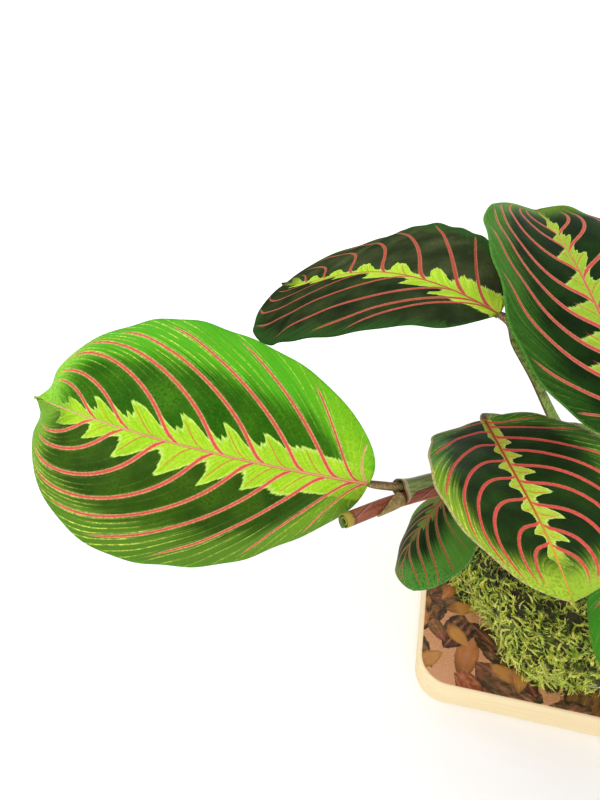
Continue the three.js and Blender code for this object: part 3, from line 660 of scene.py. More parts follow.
# How each kind of leaf is coloured. Pairs under dark, margin, dark_ends, dark_from, lobes and reach are
# the left half and the right half. Reach is in mm on a leaf 84 mm wide, at shares of the length.
LOOKS = {
    # The left half of this leaf hangs lower: its duller dark and margin colours and its weaker tip colour
    # (tip_left) are painted shade.
    "bright": {
        "dark": (("284A06", "3E640C"), ("275F02", "3E7608")),
        "margin": (("4A7A1C", "70982E"), ("46A218", "6CCA24")),
        "line": "CCE458", "lime": ("98CE20", "B8E234"), "lime_edge": "DAF486", "vein": ("DE5246", "F2B888"),
        "rib": ("E3A67A", "D0785A"), "rib_tip": "E2B482", "tip": "9CDA3C", "edge": ("4FA51C", 0.3),
        "first": 0.85, "soft_base": 1.0, "base": 1.0, "line_hidden": 1.08, "line_half": 0.2, "flank": 0.26,
        "vein_half": 0.6, "rib_half": 0.56, "specular": 0.06, "tip_left": 0.45, "lines": 1.0,
        "dark_ends": ((0.6, 0.82), (0.5, 0.74)), "dark_from": ((0.3, 1.5), (0.6, 1.6)),
        "tip_ends": (0.84, 0.93), "zone_ends": (0.82, 0.93), "flat": (2.0, 4.4),
        "lobes": (STEEP_LOBES, ROUND_LOBES),
        "reach": {"left": ((-0.3, 7.0), (-0.05, 8.0), (0.1, 9.5), (0.25, 10.5), (0.4, 11.0), (0.6, 10.0),
                           (0.75, 7.5), (0.88, 3.5), (1.0, 1.0)),
                  "right": ((-0.3, 7.0), (-0.05, 8.0), (0.06, 10.0), (0.2, 11.0), (0.4, 12.5), (0.55, 11.5),
                            (0.7, 9.0), (0.82, 5.0), (1.0, 1.0))}},
    # The right half's lighter dark and margin colours are a painted greyish sheen.
    "dusky": {
        "dark": (("222D1A", "3A4828"), ("2C3620", "4C5634")),
        "margin": (("2A4A20", "38602C"), ("2C5022", "3C6630")),
        "line": "6F8F2E", "lime": ("9AC630", "C2E244"), "lime_edge": "C6DC74", "vein": ("B64E40", "D6886A"),
        "rib": ("B0553F", "C98254"), "rib_tip": "B0553F", "tip": "2E4824", "edge": ("2F5A22", 0.3),
        "jagged": 0.55, "vein_half": 0.62, "rib_half": 0.5, "specular": 0.0, "lines": 0.15,
        "dark_ends": ((0.8, 1.0), (0.72, 0.98)), "dark_from": ((-2.5, -1.5), (-2.5, -1.5)),
        "tip_ends": (0.97, 1.1), "zone_ends": (0.84, 1.0), "flat": (0.6, 1.5),
        "lobes": (STEEP_LOBES, KNOB_LOBES),
        "reach": {"left": ((-0.3, 2.0), (-0.05, 4.5), (0.1, 8.0), (0.25, 8.0), (0.4, 6.4), (0.7, 6.2),
                           (0.9, 4.6), (1.0, 1.5)),
                  "right": ((-0.3, 5.0), (-0.05, 8.0), (0.1, 8.0), (0.2, 6.8), (0.35, 5.8), (0.6, 5.2),
                            (0.9, 3.8), (1.0, 1.0))}},
    "deep": {
        "dark": (("10200A", "1D3D10"), ("10200A", "1D3A10")),
        "margin": (("34661F", "54902F"), ("22521A", "347424")),
        "line": "8FC23A", "lime": ("8CB02E", "A8C43E"), "lime_edge": "BAD070", "vein": ("C44E4A", "E49A72"),
        "rib": ("C75A50", "DE9070"), "rib_tip": "C9B060", "tip": "829E3C", "edge": ("5A9A38", 0.6),
        "dull": 0.7, "vein_half": 0.7, "rib_half": 0.6, "specular": 0.03, "lines": 0.35,
        "dark_ends": ((0.55, 0.88), (0.75, 1.0)), "dark_from": ((-2.2, -1.2), (-1.2, -0.2)),
        "tip_ends": (0.84, 1.0), "zone_ends": (0.84, 0.97), "flat": (0.6, 1.6),
        "lobes": (WEDGE_LOBES, ROUND_LOBES),
        "reach": {"left": ((-0.3, 2.0), (-0.05, 9.0), (0.2, 13.0), (0.4, 11.0), (0.6, 6.5), (0.8, 3.5),
                           (1.0, 1.0)),
                  "right": ((-0.3, 2.0), (-0.05, 7.5), (0.2, 9.0), (0.4, 8.0), (0.6, 6.0), (0.8, 3.5),
                            (1.0, 1.0))}},
    "limed": {
        "dark": (("162A0C", "244412"), ("162A0C", "284812")),
        "margin": (("336E1C", "548F28"), ("76A024", "A4C43A")),
        "line": "D6E45C", "lime": ("A6C634", "C2D852"), "lime_edge": "DCEA98", "vein": ("DA4C46", "EE8268"),
        "rib": ("A5422E", "D98A3E"), "rib_tip": "E0A040", "tip": "A9C83A", "edge": ("C2AE7C", 0.9),
        "line_hidden": 1.25, "line_half": 0.19, "vein_half": 0.66, "rib_half": 0.7,
        "specular": 0.04, "lines": 1.0,
        "dark_ends": ((0.66, 0.92), (0.66, 0.9)), "dark_from": ((0.0, 1.0), (0.2, 1.3)),
        "turning": (0.3, 0.72),
        "tip_ends": (0.8, 0.93), "zone_ends": (0.8, 0.9), "flat": (1.6, 3.0),
        "lobes": (FINGER_LOBES, FINGER_LOBES),
        "reach": {"left": ((-0.3, 1.5), (-0.05, 3.2), (0.15, 5.0), (0.3, 7.5), (0.5, 10.0), (0.7, 8.5),
                           (0.85, 4.5), (1.0, 2.0)),
                  "right": ((-0.3, 1.5), (-0.05, 2.6), (0.2, 4.4), (0.4, 6.0), (0.6, 6.5), (0.75, 5.0),
                            (0.9, 3.0), (1.0, 2.0))}},
    # For the low leaves under the others: the darker colours and the dull pale zone and veins are partly the
    # leaves' own colour and partly painted shade.
    "dull_and_shaded": {
        "dark": (("1A2C16", "284218"), ("1A2C16", "284218")),
        "margin": (("4E842E", "66A63E"), ("5A8430", "729C3E")),
        "line": "7FB44A", "lime": ("467226", "6A9A38"), "lime_edge": "6E9A46", "vein": ("A25846", "B8804E"),
        "rib": ("9A5440", "A87050"), "rib_tip": "A87050", "tip": "4E8A34", "edge": ("6FA858", 0.7),
        "broken": 0.7, "vein_half": 0.56, "rib_half": 0.5, "specular": 0.03, "lines": 0.3,
        "dark_ends": ((0.3, 0.7), (0.62, 1.05)), "dark_from": ((0.4, 1.6), (-0.5, 0.5)),
        "tip_ends": (0.66, 0.86), "zone_ends": (0.4, 0.65), "flat": (0.4, 1.2),
        "lobes": (STEEP_LOBES, KNOB_LOBES),
        "reach": {"left": ((-0.3, 2.0), (0.0, 6.0), (0.2, 8.0), (0.5, 4.0), (0.85, 2.0), (1.0, 1.0)),
                  "right": ((-0.3, 2.0), (0.0, 5.0), (0.2, 6.0), (0.5, 4.0), (0.85, 2.0), (1.0, 1.0))}},
    "leafy": {
        "dark": (("173F16", "25601C"), ("173F16", "25601C")),
        "margin": (("3A8A22", "54A82A"), ("3A8A22", "54A82A")),
        "line": "A8D048", "lime": ("A2DA34", "BDE84C"), "lime_edge": "D8F090", "vein": ("DC504C", "EA8A78"),
        "rib": ("BE5F48", "D98E66"), "rib_tip": "D9A066", "tip": "6EB436", "edge": ("6FA03C", 0.4),
        "base": 0.3, "vein_half": 0.5, "rib_half": 0.56, "specular": 0.05, "lines": 0.5,
        "dark_ends": ((0.52, 0.78), (0.52, 0.78)), "dark_from": ((-0.6, 0.5), (-0.6, 0.5)),
        "tip_ends": (0.86, 1.0), "zone_ends": (0.82, 0.95), "flat": (1.0, 3.0),
        "lobes": (FINGER_LOBES, ROUND_LOBES),
        "reach": dict.fromkeys(("left", "right"), ((-0.3, 2.0), (-0.05, 7.0), (0.2, 10.0), (0.5, 11.0),
                                                   (0.7, 8.5), (0.88, 4.0), (1.0, 1.0)))},
}
# The yellow of the right half's first vein, where a look has it
FIRST_VEIN = "DCC06E"
# The right half's vein numbers are this far past the left half's, and each leaf has a span of its own.
# All left halves' numbers are under HALF_LIMIT.
RIGHT_HALF = 400
HALF_LIMIT = 320
LEAF_SPAN = 20


class LeafTop(Finish):
    """The upper side of a leaf, built up in layers over tones that they share."""

    def __init__(self, name, look):
        super().__init__("leaf_top_" + name, specular=look["specular"])
        self.look = {**PLAIN_LOOK, **look}
        self.number, self.out, self.spacing = self.split(self.attribute("veins"))
        self.reach, self.line, self.across = self.split(self.attribute("zone"))
        self.along = self.split(self.attribute("length_share"))[0]
        self.phase = self.number % 1.0
        self.near = self.phase.least(1 - self.phase) * self.spacing
        self.right_half = self.number.ramp(HALF_LIMIT - 0.5, HALF_LIMIT + 0.5)
        # Which vein of its half this is, counted from the stalk
        self.vein = (self.number + 5) % LEAF_SPAN - 5
        # Grain that runs with the veins, coarse to fine, and the cells of the blade
        self.jags = self.noise(self.join(self.number * 11, self.out * 9), detail=3, roughness=0.6) - 0.5
        streaks = self.noise(self.join(self.number * 15, self.out * 1.7), detail=3, roughness=0.6) - 0.5
        self.streaks = streaks * (1 - self.along.ramp(0.76, 0.94) * 0.6)
        self.cloud = self.noise(self.place(), 0.09, detail=2)
        self.cells = self.noise(self.place(), 1.2, detail=2)

    def either(self, left, right):
        """A number that is one thing on the left half and another on the right half."""
        return left + (right - left) * self.right_half

    def threads(self):
        """Fine broken lines that run with the veins."""
        start, end = self.look["tip_ends"]
        broken = self.noise(self.join(self.number * 6, self.out * 5), detail=2)
        dots = self.noise(self.join(self.number * 14, self.out * 46), detail=1)
        strand = (self.number * 4 + (broken - 0.5) * 0.2) % 1.0
        threads = (self.look["line_half"] - abs(strand - 0.5) * self.spacing / 4).ramp(-0.1, 0.08)
        threads = threads * broken.ramp(0.38, 0.56) * (0.35 + 0.65 * dots.ramp(0.4, 0.56))
        threads = threads * (0.45 + 0.55 * self.out.ramp(0.3, 0.6))
        return threads * (1 - self.along.ramp(start - 0.02, end + 0.04))

    def dark_share(self, tip_share):
        """How much the dark blotches along the veins cover, fading into the margin."""
        look = self.look
        fade = self.out + self.streaks * 0.42 + (self.cloud - 0.5) * 0.12
        share = self.either(*[1 - fade.ramp(*ends) for ends in look["dark_ends"]]) * (1 - tip_share)
        share = share * self.either(*[(self.vein + self.streaks).ramp(*ends) for ends in look["dark_from"]])
        between_veins = (self.phase * (1 - self.phase) * 4 + self.streaks * 0.5).ramp(0.15, 0.75)
        return share * (1 - (1 - between_veins) * look["broken"])

    def base_share(self):
        """How much lime runs from the stalk into the margin."""
        share = (1 - (self.vein + self.streaks).ramp(0.3, 1.6)) * (1 - self.out.ramp(0.5, 1.0) * 0.55)
        share = share * self.look["base"] * (0.4 + self.right_half * 0.55)
        return share * (0.35 + 0.65 * (self.vein + self.streaks * 0.5).ramp(-0.5, 0.2))

    def margin(self, dark, tip_share, base):
        look = self.look
        grain = (self.streaks * 0.8 + 0.5 + (self.cells - 0.5) * 2.6).ramp(0.24, 0.78)
        margins = [self.shades(grain, *codes) for codes in look["margin"]]
        far = self.along + self.streaks * 0.3
        margin = self.mix(self.right_half * far.ramp(*look["turning"]), *margins)
        # A tip_left under 1 weakens the tip colour on the left half: painted shade where that half hangs
        # lower.
        tip_share = tip_share * self.either(look["tip_left"], 1.0)
        margin = self.over(margin, (tip_share * (0.6 + grain * 0.4), look["tip"]), (base, look["lime"][0]))
        return self.mix((1 - far.ramp(0.2, 0.75)) * look["dull"], margin, dark)

    def blade(self, threads, base):
        """The blotches, the margin round them and the fine lines."""
        look = self.look
        tip_share = (self.along + self.streaks * 0.12).ramp(*look["tip_ends"])
        depth = (self.cells * 0.5 + self.cloud * 0.5).ramp(0.4, 0.62)
        dark = self.mix(self.right_half, *[self.shades(depth, *codes) for codes in look["dark"]])
        dark_share = self.dark_share(tip_share)
        blade = self.mix(dark_share, self.margin(dark, tip_share, base), dark)
        bright = threads * (1.2 - dark_share * look["line_hidden"]).least(1.0).most(0.0) * look["lines"]
        share = bright * (0.5 + 0.5 * (self.along + self.streaks * 0.3).ramp(0.35, 0.7))
        return self.over(blade, (share, look["line"]))

    def pale_zone(self):
        """Where the zone beside the midrib is, lobed between the veins, and its colour."""
        look = self.look
        height = self.mix(self.right_half, *[self.curve(self.phase, lobes) for lobes in look["lobes"]])
        height = self.mix(self.vein.ramp(*look["flat"]), (0.85, 0.85, 0.85, 1), height)
        inside = self.split(height)[0] + self.jags * look["jagged"] + self.streaks * 0.1 - self.reach
        full = 1 - (1 - (self.vein + self.jags * 1.5).ramp(0.0, 1.5)) * look["soft_base"]
        zone = inside.ramp(-0.02, 0.05) * (1 - (self.along + self.jags * 0.1).ramp(*look["zone_ends"]))
        patchy = (self.cells * 0.3 + self.cloud * 0.3 + self.streaks * 0.8 + 0.2).ramp(0.38, 0.62)
        border = inside.ramp(0.0, 0.03) * (1 - inside.ramp(0.04, 0.15)) * 0.6 * full
        lime = self.over(self.shades(patchy, *look["lime"]), (border, look["lime_edge"]))
        return zone * (0.5 + 0.5 * full), lime

    def veins(self, blade):
        """A coloured line with paler flanks, and a short fine one between each pair."""
        look = self.look
        core, pale = look["vein"]
        line = self.line * (1 + (self.cells - 0.5) * 0.15)
        flank = (line + look["flank"] - self.near).ramp(-0.14, 0.14) * (line * 6.0).least(1.0)
        vein = (line * 0.9 - self.near).ramp(-0.14, 0.1) * (line * 7.0).least(1.0)
        short = (0.24 - self.reach * 0.16 - abs(self.phase - 0.45) * self.spacing).ramp(-0.12, 0.1)
        short = short * (0.8 - self.reach).ramp(0.0, 0.15) * self.vein.ramp(1.6, 2.2)
        short = short * (1 - self.along.ramp(0.72, 0.8))
        tint = self.shades((self.near / (line + 0.05)).ramp(0.45, 1.1), core, pale)
        tint = self.over(tint, (self.right_half * (1 - self.vein.ramp(0.3, 0.7)) * look["first"], FIRST_VEIN))
        blade = self.mix(vein, self.over(blade, (flank * 0.65, pale)), tint)
        return vein, self.over(blade, (short * 0.75, core))

    def midrib(self, blade):
        look = self.look
        half = look["rib_half"] * (1 - self.along * 0.72)
        rib = (half - self.across).ramp(-0.22, 0.16)
        tint = self.shades((self.across / half).ramp(0.2, 1.0), *look["rib"])
        tint = self.over(tint, (self.along.ramp(0.55, 0.85), look["rib_tip"]))
        return rib, self.mix(rib * (1 - self.along.ramp(0.93, 1.0) * 0.5), blade, tint)

    def paint(self):
        threads, base = self.threads(), self.base_share()
        zone, lime = self.pale_zone()
        vein, tint = self.veins(self.mix(zone, self.blade(threads, base), lime))
        rib, tint = self.midrib(tint)
        edge_tint, edge_share = self.look["edge"]
        tint = self.over(tint, (self.out.ramp(0.962, 0.99) * edge_share, edge_tint))
        # The cells shade the blade, and less so its pale parts and its lines
        calm = (zone.most(base) * 0.55).most(vein.most(rib) * 0.8)
        tint = self.mix(self.cells.ramp(0.36, 0.64) * 0.46 * (1 - calm) + calm * 0.14 - 0.01, tint, BLACK)
        relief = (1 - vein.most(rib)) * 0.6 + threads * 0.3 + self.cells * 0.25
        return self.coat(tint, 0.42 + (self.cells - 0.5) * 0.2 + zone * 0.06, relief, 0.28)


def leaf_under_finish():
    """Maroon, with paler veins and midrib."""
    finish = Finish("leaf_under", roughness=0.6, sheen=0.1)
    number, out, spacing = finish.split(finish.attribute("veins"))
    reach, line, across = finish.split(finish.attribute("zone"))
    phase = number % 1.0
    near = phase.least(1 - phase) * spacing
    streaks = finish.noise(finish.join(number * 14, out * 2.0), detail=3)
    cells = finish.noise(finish.place(), 1.4, detail=2)
    vein = (line * 0.9 - near).ramp(-0.25, 0.15) * (line * 7.0).least(1.0)
    blade = finish.over(
        finish.shades(streaks.ramp(0.3, 0.7), "5E2438", "7D3A4C"),
        ((1.0 - reach).ramp(-0.2, 0.3) * 0.5, "8E6A50"), (out.ramp(0.9, 1.0) * 0.4, "5A5A30"),
        (vein * 0.8, "B0727A"), ((1.0 - across).ramp(-0.3, 0.3), "A98A62"),
        (cells.ramp(0.35, 0.7) * 0.2, "3E1828"))
    return finish.coat(blade, 0.55 + (cells - 0.5) * 0.2, vein * 0.4 + cells * 0.5, 0.25)


UNDER = leaf_under_finish()
LEAF_FINISHES = {name: (LeafTop(name, look).paint(), UNDER) for name, look in LOOKS.items()}

for index, (name, row) in enumerate(LEAVES.items()):
    dress(leaf_piece(name + "_blade", row, index), "leaf_blades", name)


# Stems

def spline(points, per_span=24):
    """A smooth path through points, bent as the solids' paths are. Spans are weighted by the root of
    their length."""
    points = [np.array(p, float) for p in points]
    points = [2 * points[0] - points[1], *points, 2 * points[-1] - points[-2]]
    path = []
    for a, b, c, d in zip(points, points[1:], points[2:], points[3:]):
        ab, bc, cd = (max(np.linalg.norm(q - p), 1e-6) ** 0.5 for p, q in ((a, b), (b, c), (c, d)))
        leave = ((b - a) / ab - (c - a) / (ab + bc) + (c - b) / bc) * bc
        arrive = ((c - b) / bc - (d - b) / (bc + cd) + (d - c) / cd) * bc
        for k in range(per_span):
            x = k / per_span
            path.append(b + leave * x + (-3 * b + 3 * c - 2 * leave - arrive) * x * x
                        + (2 * b - 2 * c + leave + arrive) * x ** 3)
    path.append(points[-2])
    return np.array(path)


def even(path, step):
    """The same path with points a given length apart, and how far along it each of them is."""
    lengths = np.concatenate([[0], np.cumsum(np.linalg.norm(np.diff(path, axis=0), axis=1))])
    marks = np.linspace(0, lengths[-1], max(4, int(round(lengths[-1] / step))) + 1)
    return rows_at(marks, lengths, path), marks


def frames_along(path):
    """Two directions across a path at each of its points, carried along it without twisting."""
    forward = unit(np.gradient(path, axis=0))
    first = np.cross(forward[0], (0.0, 0.0, 1.0))
    if np.linalg.norm(first) < 0.05:
        first = np.cross(forward[0], (1.0, 0.0, 0.0))
    sides = [unit(first)]
    for k in range(1, len(path)):
        sides.append(unit(sides[-1] - forward[k] * np.dot(sides[-1], forward[k])))
    sides = np.array(sides)
    return sides, np.cross(forward, sides)


def tube(path, radii, sides, start=0):
    """Points and faces of a closed round tube. Its two end points come after its rings."""
    first, second = (rows[:, None] for rows in frames_along(path))
    angles = FULL_TURN * np.arange(sides)[None, :, None] / sides
    rings = path[:, None] + radii[:, None, None] * around(angles, first, second)
    forward = unit(np.gradient(path, axis=0))
    ends = np.array([path[0] - 0.4 * radii[0] * forward[0], path[-1] + 0.3 * radii[-1] * forward[-1]])
    faces = ring_faces(len(path), sides, start)
    end = start + len(path) * sides
    for j in range(sides):
        following = (j + 1) % sides
        faces.append((end, start + following, start + j))
        faces.append((end + 1, end - sides + j, end - sides + following))
    return np.concatenate([rings.reshape(-1, 3), ends]), faces


# The swollen joint behind a leaf and its faint rings
JOINT = {"length": 13.0, "swell": 0.2, "ring": 0.02, "ring_turn": 2.1}
STALK_STEP, STALK_SIDES = 2.2, 14
# What a branch's stored lengths count from, and what is stored where no joint is near
BRANCH_FROM, NO_JOINT = 60.0, 5.0


def stalk_points(stem):
    if "leaf" not in stem:
        return [*stem["via"], stem["end"]]
    leaf = LEAVES[stem["leaf"]]
    forward = leaf_axes(leaf)[0]
    base = np.array(leaf["base"], float)
    return [*stem["via"], *(base - forward * gap for gap in (STEM["neck"], BLADE["thickness"] / 2))]


def stalk(points, radii, joint_length, start=0):
    """One stem or branch as a tube, with the joint behind its leaf a little thicker. joint_length is
    None where there is no leaf. Also gives, for each point, how many joint lengths it is from the leaf
    and its length from the foot."""
    path, marks = even(spline(points), STALK_STEP)
    size = np.interp(marks / marks[-1] * (len(radii) - 1), np.arange(len(radii)), radii)
    to_leaf = marks[-1] - marks
    if joint_length:
        joint = 1 - step_between(joint_length * 0.7, joint_length, to_leaf)
        size = size + JOINT["swell"] * joint * np.minimum(to_leaf / 2, 1)
        size = size * (1 + JOINT["ring"] * np.sin(to_leaf * JOINT["ring_turn"]) * joint)
    tube_points, faces = tube(path, size, STALK_SIDES, start)
    where = np.concatenate([np.repeat(marks, STALK_SIDES), [marks[0], marks[-1]]])
    joints = (marks[-1] - where) / joint_length if joint_length else np.full(len(where), NO_JOINT)
    return tube_points, faces, np.stack([joints, where, np.zeros(len(where))], 1)


def stem_piece(name, stem):
    """A stem from its foot among the roots to its leaf, with its branch if it has one."""
    top = BOARD_TOP + MOUND["height"]
    heights = (top - STEM["foot_depth"], top - STEM["foot_depth"] / 2, top + STEM["rise"])
    way = [*((*stem["foot"], z) for z in heights), *stalk_points(stem)]
    points, faces, values = stalk(way, stem["radii"], stem.get("joint", JOINT["length"]))
    if "branch" in stem:
        branch = stem["branch"]
        joint_length = JOINT["length"] if "leaf" in branch else None
        way = [branch["from"], *stalk_points(branch)]
        more_points, more_faces, more_values = stalk(way, branch["radii"], joint_length, len(points))
        more_values[:, 1] += BRANCH_FROM
        points, values = np.concatenate([points, more_points]), np.concatenate([values, more_values])
        faces += more_faces
    piece = make_piece(name + "_stalk", points, faces, [STALK_FINISH])
    set_point_values(piece, "stalk_place", values)
    dress(piece, "stalks", name)


def stalk_finish():
    """Green with a brown flush and a browner side, brown and downy at the joint behind the leaf."""
    finish = Finish("stalk", roughness=0.5, specular=0.25)
    to_leaf, from_foot, _ = finish.split(finish.attribute("stalk_place"))
    place = finish.place()
    x, y, z = finish.split(place)
    beside, _, above = finish.split(finish.node("ShaderNodeNewGeometry", None, None, "Normal"))
    grain = finish.noise(finish.join(x * 1.6, y * 1.6, z * 0.5), 1.0, detail=3)
    specks = finish.noise(place, 3.0, detail=2)
    flush = finish.noise(finish.join(x * 0.35, y * 0.35, z * 0.12), 1.0, detail=3)
    joint = 1 - (to_leaf + (grain - 0.5) * 0.3).ramp(0.75, 1.02)
    tint = finish.over(
        finish.shades(grain.ramp(0.36, 0.62), "587C2C", "96B054"), (flush.ramp(0.5, 0.66) * 0.6, "5C3E2C"),
        ((1 - from_foot.ramp(30, 50)) * 0.5, "6E4038"))
    tint = finish.mix(joint, tint, finish.shades(specks.ramp(0.4, 0.6), "5E452C", "B89E68"))
    tint = finish.over(
        tint, ((flush * 0.3 - beside).ramp(0.38, 0.52) * (1 - joint * 0.6) * 0.85, "4A3822"),
        ((above + (specks - 0.5) * 0.4).ramp(0.55, 0.95) * (0.25 + joint * 0.45), "33281A"))
    return finish.coat(tint, 0.5 + specks * 0.2, specks * (joint + 0.3) + grain * 0.4, 0.25)


STALK_FINISH = stalk_finish()
for name, stem in STEMS.items():
    stem_piece(name, stem)


# The young leaf, still rolled up, and the sheath and small bract that it grows out of

# What the values stored on the roll's inner side are raised by
INNER_SIDE = 4


def rolled_leaf():
    sides = 44
    foot, tip = (np.array(ROLLED_LEAF[key]) for key in ("foot", "tip"))
    middle = (foot + tip) / 2 + np.array([0, 0, ROLLED_LEAF["bow"]])
    path, _ = even(spline([foot, middle, tip]), 1.5)
    first, second = (rows[:, None] for rows in frames_along(path))
    share, along = np.linspace(0, 1, sides), np.linspace(0, 1, len(path))
    angle = FULL_TURN * ROLLED_LEAF["turns"] * share + ROLLED_LEAF["first_turn"]
    out = around(angle[None, :, None], first, second)
    flare = between((ROLLED_LEAF["foot_share"], 1.0), np.sin(0.5 * np.pi * along))
    sheets = []
    for wall in (0.0, ROLLED_LEAF["wall"]):
        radius = between(ROLLED_LEAF["radius"], share) - wall
        sheets.append((path[:, None] + (flare[:, None] * radius)[..., None] * out).reshape(-1, 3))
    faces = np.concatenate(sheet_faces(len(path), sides))[:, ::-1]
    piece = make_piece("rolled_leaf_blade", np.concatenate(sheets), faces.tolist(), [rolled_finish()])
    hanging = -out[..., 2].ravel()
    values = (np.tile(np.repeat(along, sides), 2), np.tile(share, 2 * len(path)),
              np.concatenate([hanging, hanging + INNER_SIDE]))
    set_point_values(piece, "roll_place", np.stack(values, 1))
    dress(piece, "rolled_leaf", "rolled_leaf")


def rolled_finish():
    """Brown red with a pink side below, a seam that winds along it and a yellow mouth. The seam's dark line
    is painted shade under the outer flap's edge, and the paler band beside it is a painted highlight on that
    edge.
    """
    finish = Finish("rolled_leaf", roughness=0.5, specular=0.25)
    along, turn, side = finish.split(finish.attribute("roll_place"))
    streaks = finish.noise(finish.join(turn * 26, along * 3), detail=3)
    grain = finish.noise(finish.place(), 1.3, detail=3)
    flap_edge_shading = (turn * 2.6 + along * 1.3) % 1.0
    mouth = along + (streaks - 0.5) * 0.04
    under = side.ramp(0.0, 0.3) * (1 - side.ramp(1.1, 1.2)) * (1 - along.ramp(0.58, 0.78))
    # The dark seam line is painted shade under the outer flap's edge, and the paler band beside it is a
    # painted highlight on that edge.
    tint = finish.over(
        finish.shades((streaks * 0.6 + grain * 0.4).ramp(0.38, 0.6), "66321F", "8E4E38"),
        (along.ramp(0.55, 0.95) * 0.3, "A87050"), ((flap_edge_shading - 0.92).ramp(0.0, 0.02) * 0.5, "C0807A"),
        ((flap_edge_shading - 0.95).ramp(0.0, 0.02) * 0.8, "43201A"), (mouth.ramp(0.905, 0.93) * 0.7, "5E3420"),
        (mouth.ramp(0.93, 0.955), "9A8A34"), (under * 0.85, "DC6C66"), (side.ramp(1.9, 2.1) * 0.9, "3B6A20"))
    return finish.coat(tint, 0.5, streaks, 0.25)


rolled_leaf()

# The sheath ends past the stem's fork. Its lip stands out on one side, and grid is its points around
# and along. The bract reaches between two shares of the roll's length.
SHEATH = {
    "length": 26.0, "past": 4.5, "radius": (2.75, 2.9), "foot_narrowing": 0.16, "wall": 0.35, "slant": -0.5,
    "lip": 4.5, "lip_spread": 0.5, "lip_facing": (0.605, -0.755, -0.252), "grid": (41, 22)}
BRACT = {
    "along": (0.43, 0.72), "radius": (3.5, 3.25), "half_width": (3.2, 0.25), "turn": (25, -52), "wall": 0.35,
    "facing": (0.0, -0.67, 0.74), "grid": (16, 9)}


def thin_shell(name, points, grid, wall, finish):
    """A piece from rows of points, closed into a thin sheet."""
    rows = np.array(points).reshape(*grid, 3)
    normal = unit(np.cross(np.gradient(rows, axis=0), np.gradient(rows, axis=1))) * wall / 2
    both = [(rows + shift).reshape(-1, 3) for shift in (normal, -normal)]
    return make_piece(name, np.concatenate(both), np.concatenate(sheet_faces(*grid)).tolist(), [finish])


def leaf_sheath():
    """A thin sheath round the stalk of the big left leaf, slit open at its mouth."""
    stem = STEMS["stem_left"]
    path, lengths = even(spline(stalk_points(stem)), 0.8)
    first, second = frames_along(path)
    mouth = lengths[np.argmin(np.linalg.norm(path - np.array(stem["via"][-1]), axis=1))] + SHEATH["past"]
    at_mouth = np.argmin(abs(lengths - mouth))
    turns, rings = SHEATH["grid"]
    shares = np.linspace(0, 1, rings)
    points, facings = [], []
    for angle in np.linspace(0, FULL_TURN, turns):
        out = around(angle, first[at_mouth], second[at_mouth])
        toward = float(np.clip(np.dot(out, SHEATH["lip_facing"]), -1, 1))
        length = SHEATH["length"] - SHEATH["slant"] * max(toward, 0.0) ** 1.5
        marks = mouth - SHEATH["length"] + length * shares
        radius = between(SHEATH["radius"], shares ** 2)
        radius = radius * (1 - SHEATH["foot_narrowing"] * (1 - np.minimum(shares * 5, 1)))
        radius = radius + SHEATH["lip"] * hill(math.acos(toward), SHEATH["lip_spread"]) * shares ** 3
        place, side, top = (rows_at(marks, lengths, rows) for rows in (path, first, second))
        points.append(place + radius[:, None] * around(angle, side, top))
        facings.append(np.full(rings, out[2]))
    piece = thin_shell("stem_left_sheath", points, SHEATH["grid"], SHEATH["wall"], sheath_finish())
    values = np.stack([np.tile(shares, turns), np.concatenate(facings), np.zeros(turns * rings)], 1)
    set_point_values(piece, "sheath_place", np.tile(values, (2, 1)))
    dress(piece, "stalks")


def bract():
    """The small bract that wraps slantwise round the rolled leaf, from the sheath's mouth to a point."""
    foot, tip = (np.array(ROLLED_LEAF[key]) for key in ("foot", "tip"))
    forward = unit(tip - foot)
    facing = np.array(BRACT["facing"])
    facing = unit(facing - forward * np.dot(facing, forward))
    beside = np.cross(forward, facing)
    rows, columns = BRACT["grid"]
    points = []
    for share in np.linspace(0, 1, rows):
        at = between(BRACT["along"], share)
        middle = between((foot, tip), at) + np.array([0, 0, ROLLED_LEAF["bow"] * 4 * at * (1 - at)])
        turn = math.radians(between(BRACT["turn"], share))
        radius = between(BRACT["radius"], share)
        half_angle = between(BRACT["half_width"], share ** 1.3) / radius
        points += [middle + radius * around(turn + across * half_angle, facing, beside)
                   for across in np.linspace(-1, 1, columns)]
    dress(thin_shell("stem_left_bract", points, BRACT["grid"], BRACT["wall"], bract_finish()), "stalks")


def sheath_finish():
    """Streaked green, brown along the top and maroon below, with a pale dry lip."""
    finish = Finish("sheath", roughness=0.45, specular=0.25)
    share, facing, _ = finish.split(finish.attribute("sheath_place"))
    x, y, z = finish.split(finish.place())
    streaks = finish.noise(finish.join(facing * 5, x * 0.12, y * 0.12), 1.5, detail=3)
    green = finish.shades(streaks.ramp(0.35, 0.65), "5A7234", "8C9C5A")
    maroon = finish.shades(streaks.ramp(0.4, 0.6), "6E3238", "93504C")
    upward = facing + (streaks - 0.5) * 0.3
    tint = finish.over(
        finish.mix(upward.ramp(-0.6, -0.75), green, maroon), (upward.ramp(0.78, 0.92) * 0.75, "4A3C26"),
        (share.ramp(0.88, 0.92) * 0.8, "B4A878"), (share.ramp(0.965, 0.985) * 0.8, "5E4830"))
    return finish.coat(tint, 0.45, streaks, 0.2)


def bract_finish():
    finish = Finish("bract", roughness=0.7, specular=0.2)
    grain = finish.noise(finish.place(), 0.6, detail=3)
    return finish.coat(finish.shades(grain.ramp(0.3, 0.7), "735F3A", "9A8A56"), 0.7, grain, 0.3)


leaf_sheath()
bract()


# Board and its printed top

def rounded_square(half, corner, steps=14):
    points = []
    for x, y, start in ((1, 1, 0), (-1, 1, 90), (-1, -1, 180), (1, -1, 270)):
        for k in range(steps + 1):
            angle = math.radians(start + 90 * k / steps)
            points.append((x * (half - corner) + corner * math.cos(angle),
                           y * (half - corner) + corner * math.sin(angle)))
    return points


# Edges that turn by more than this many degrees are drawn sharp
SHARP = 35


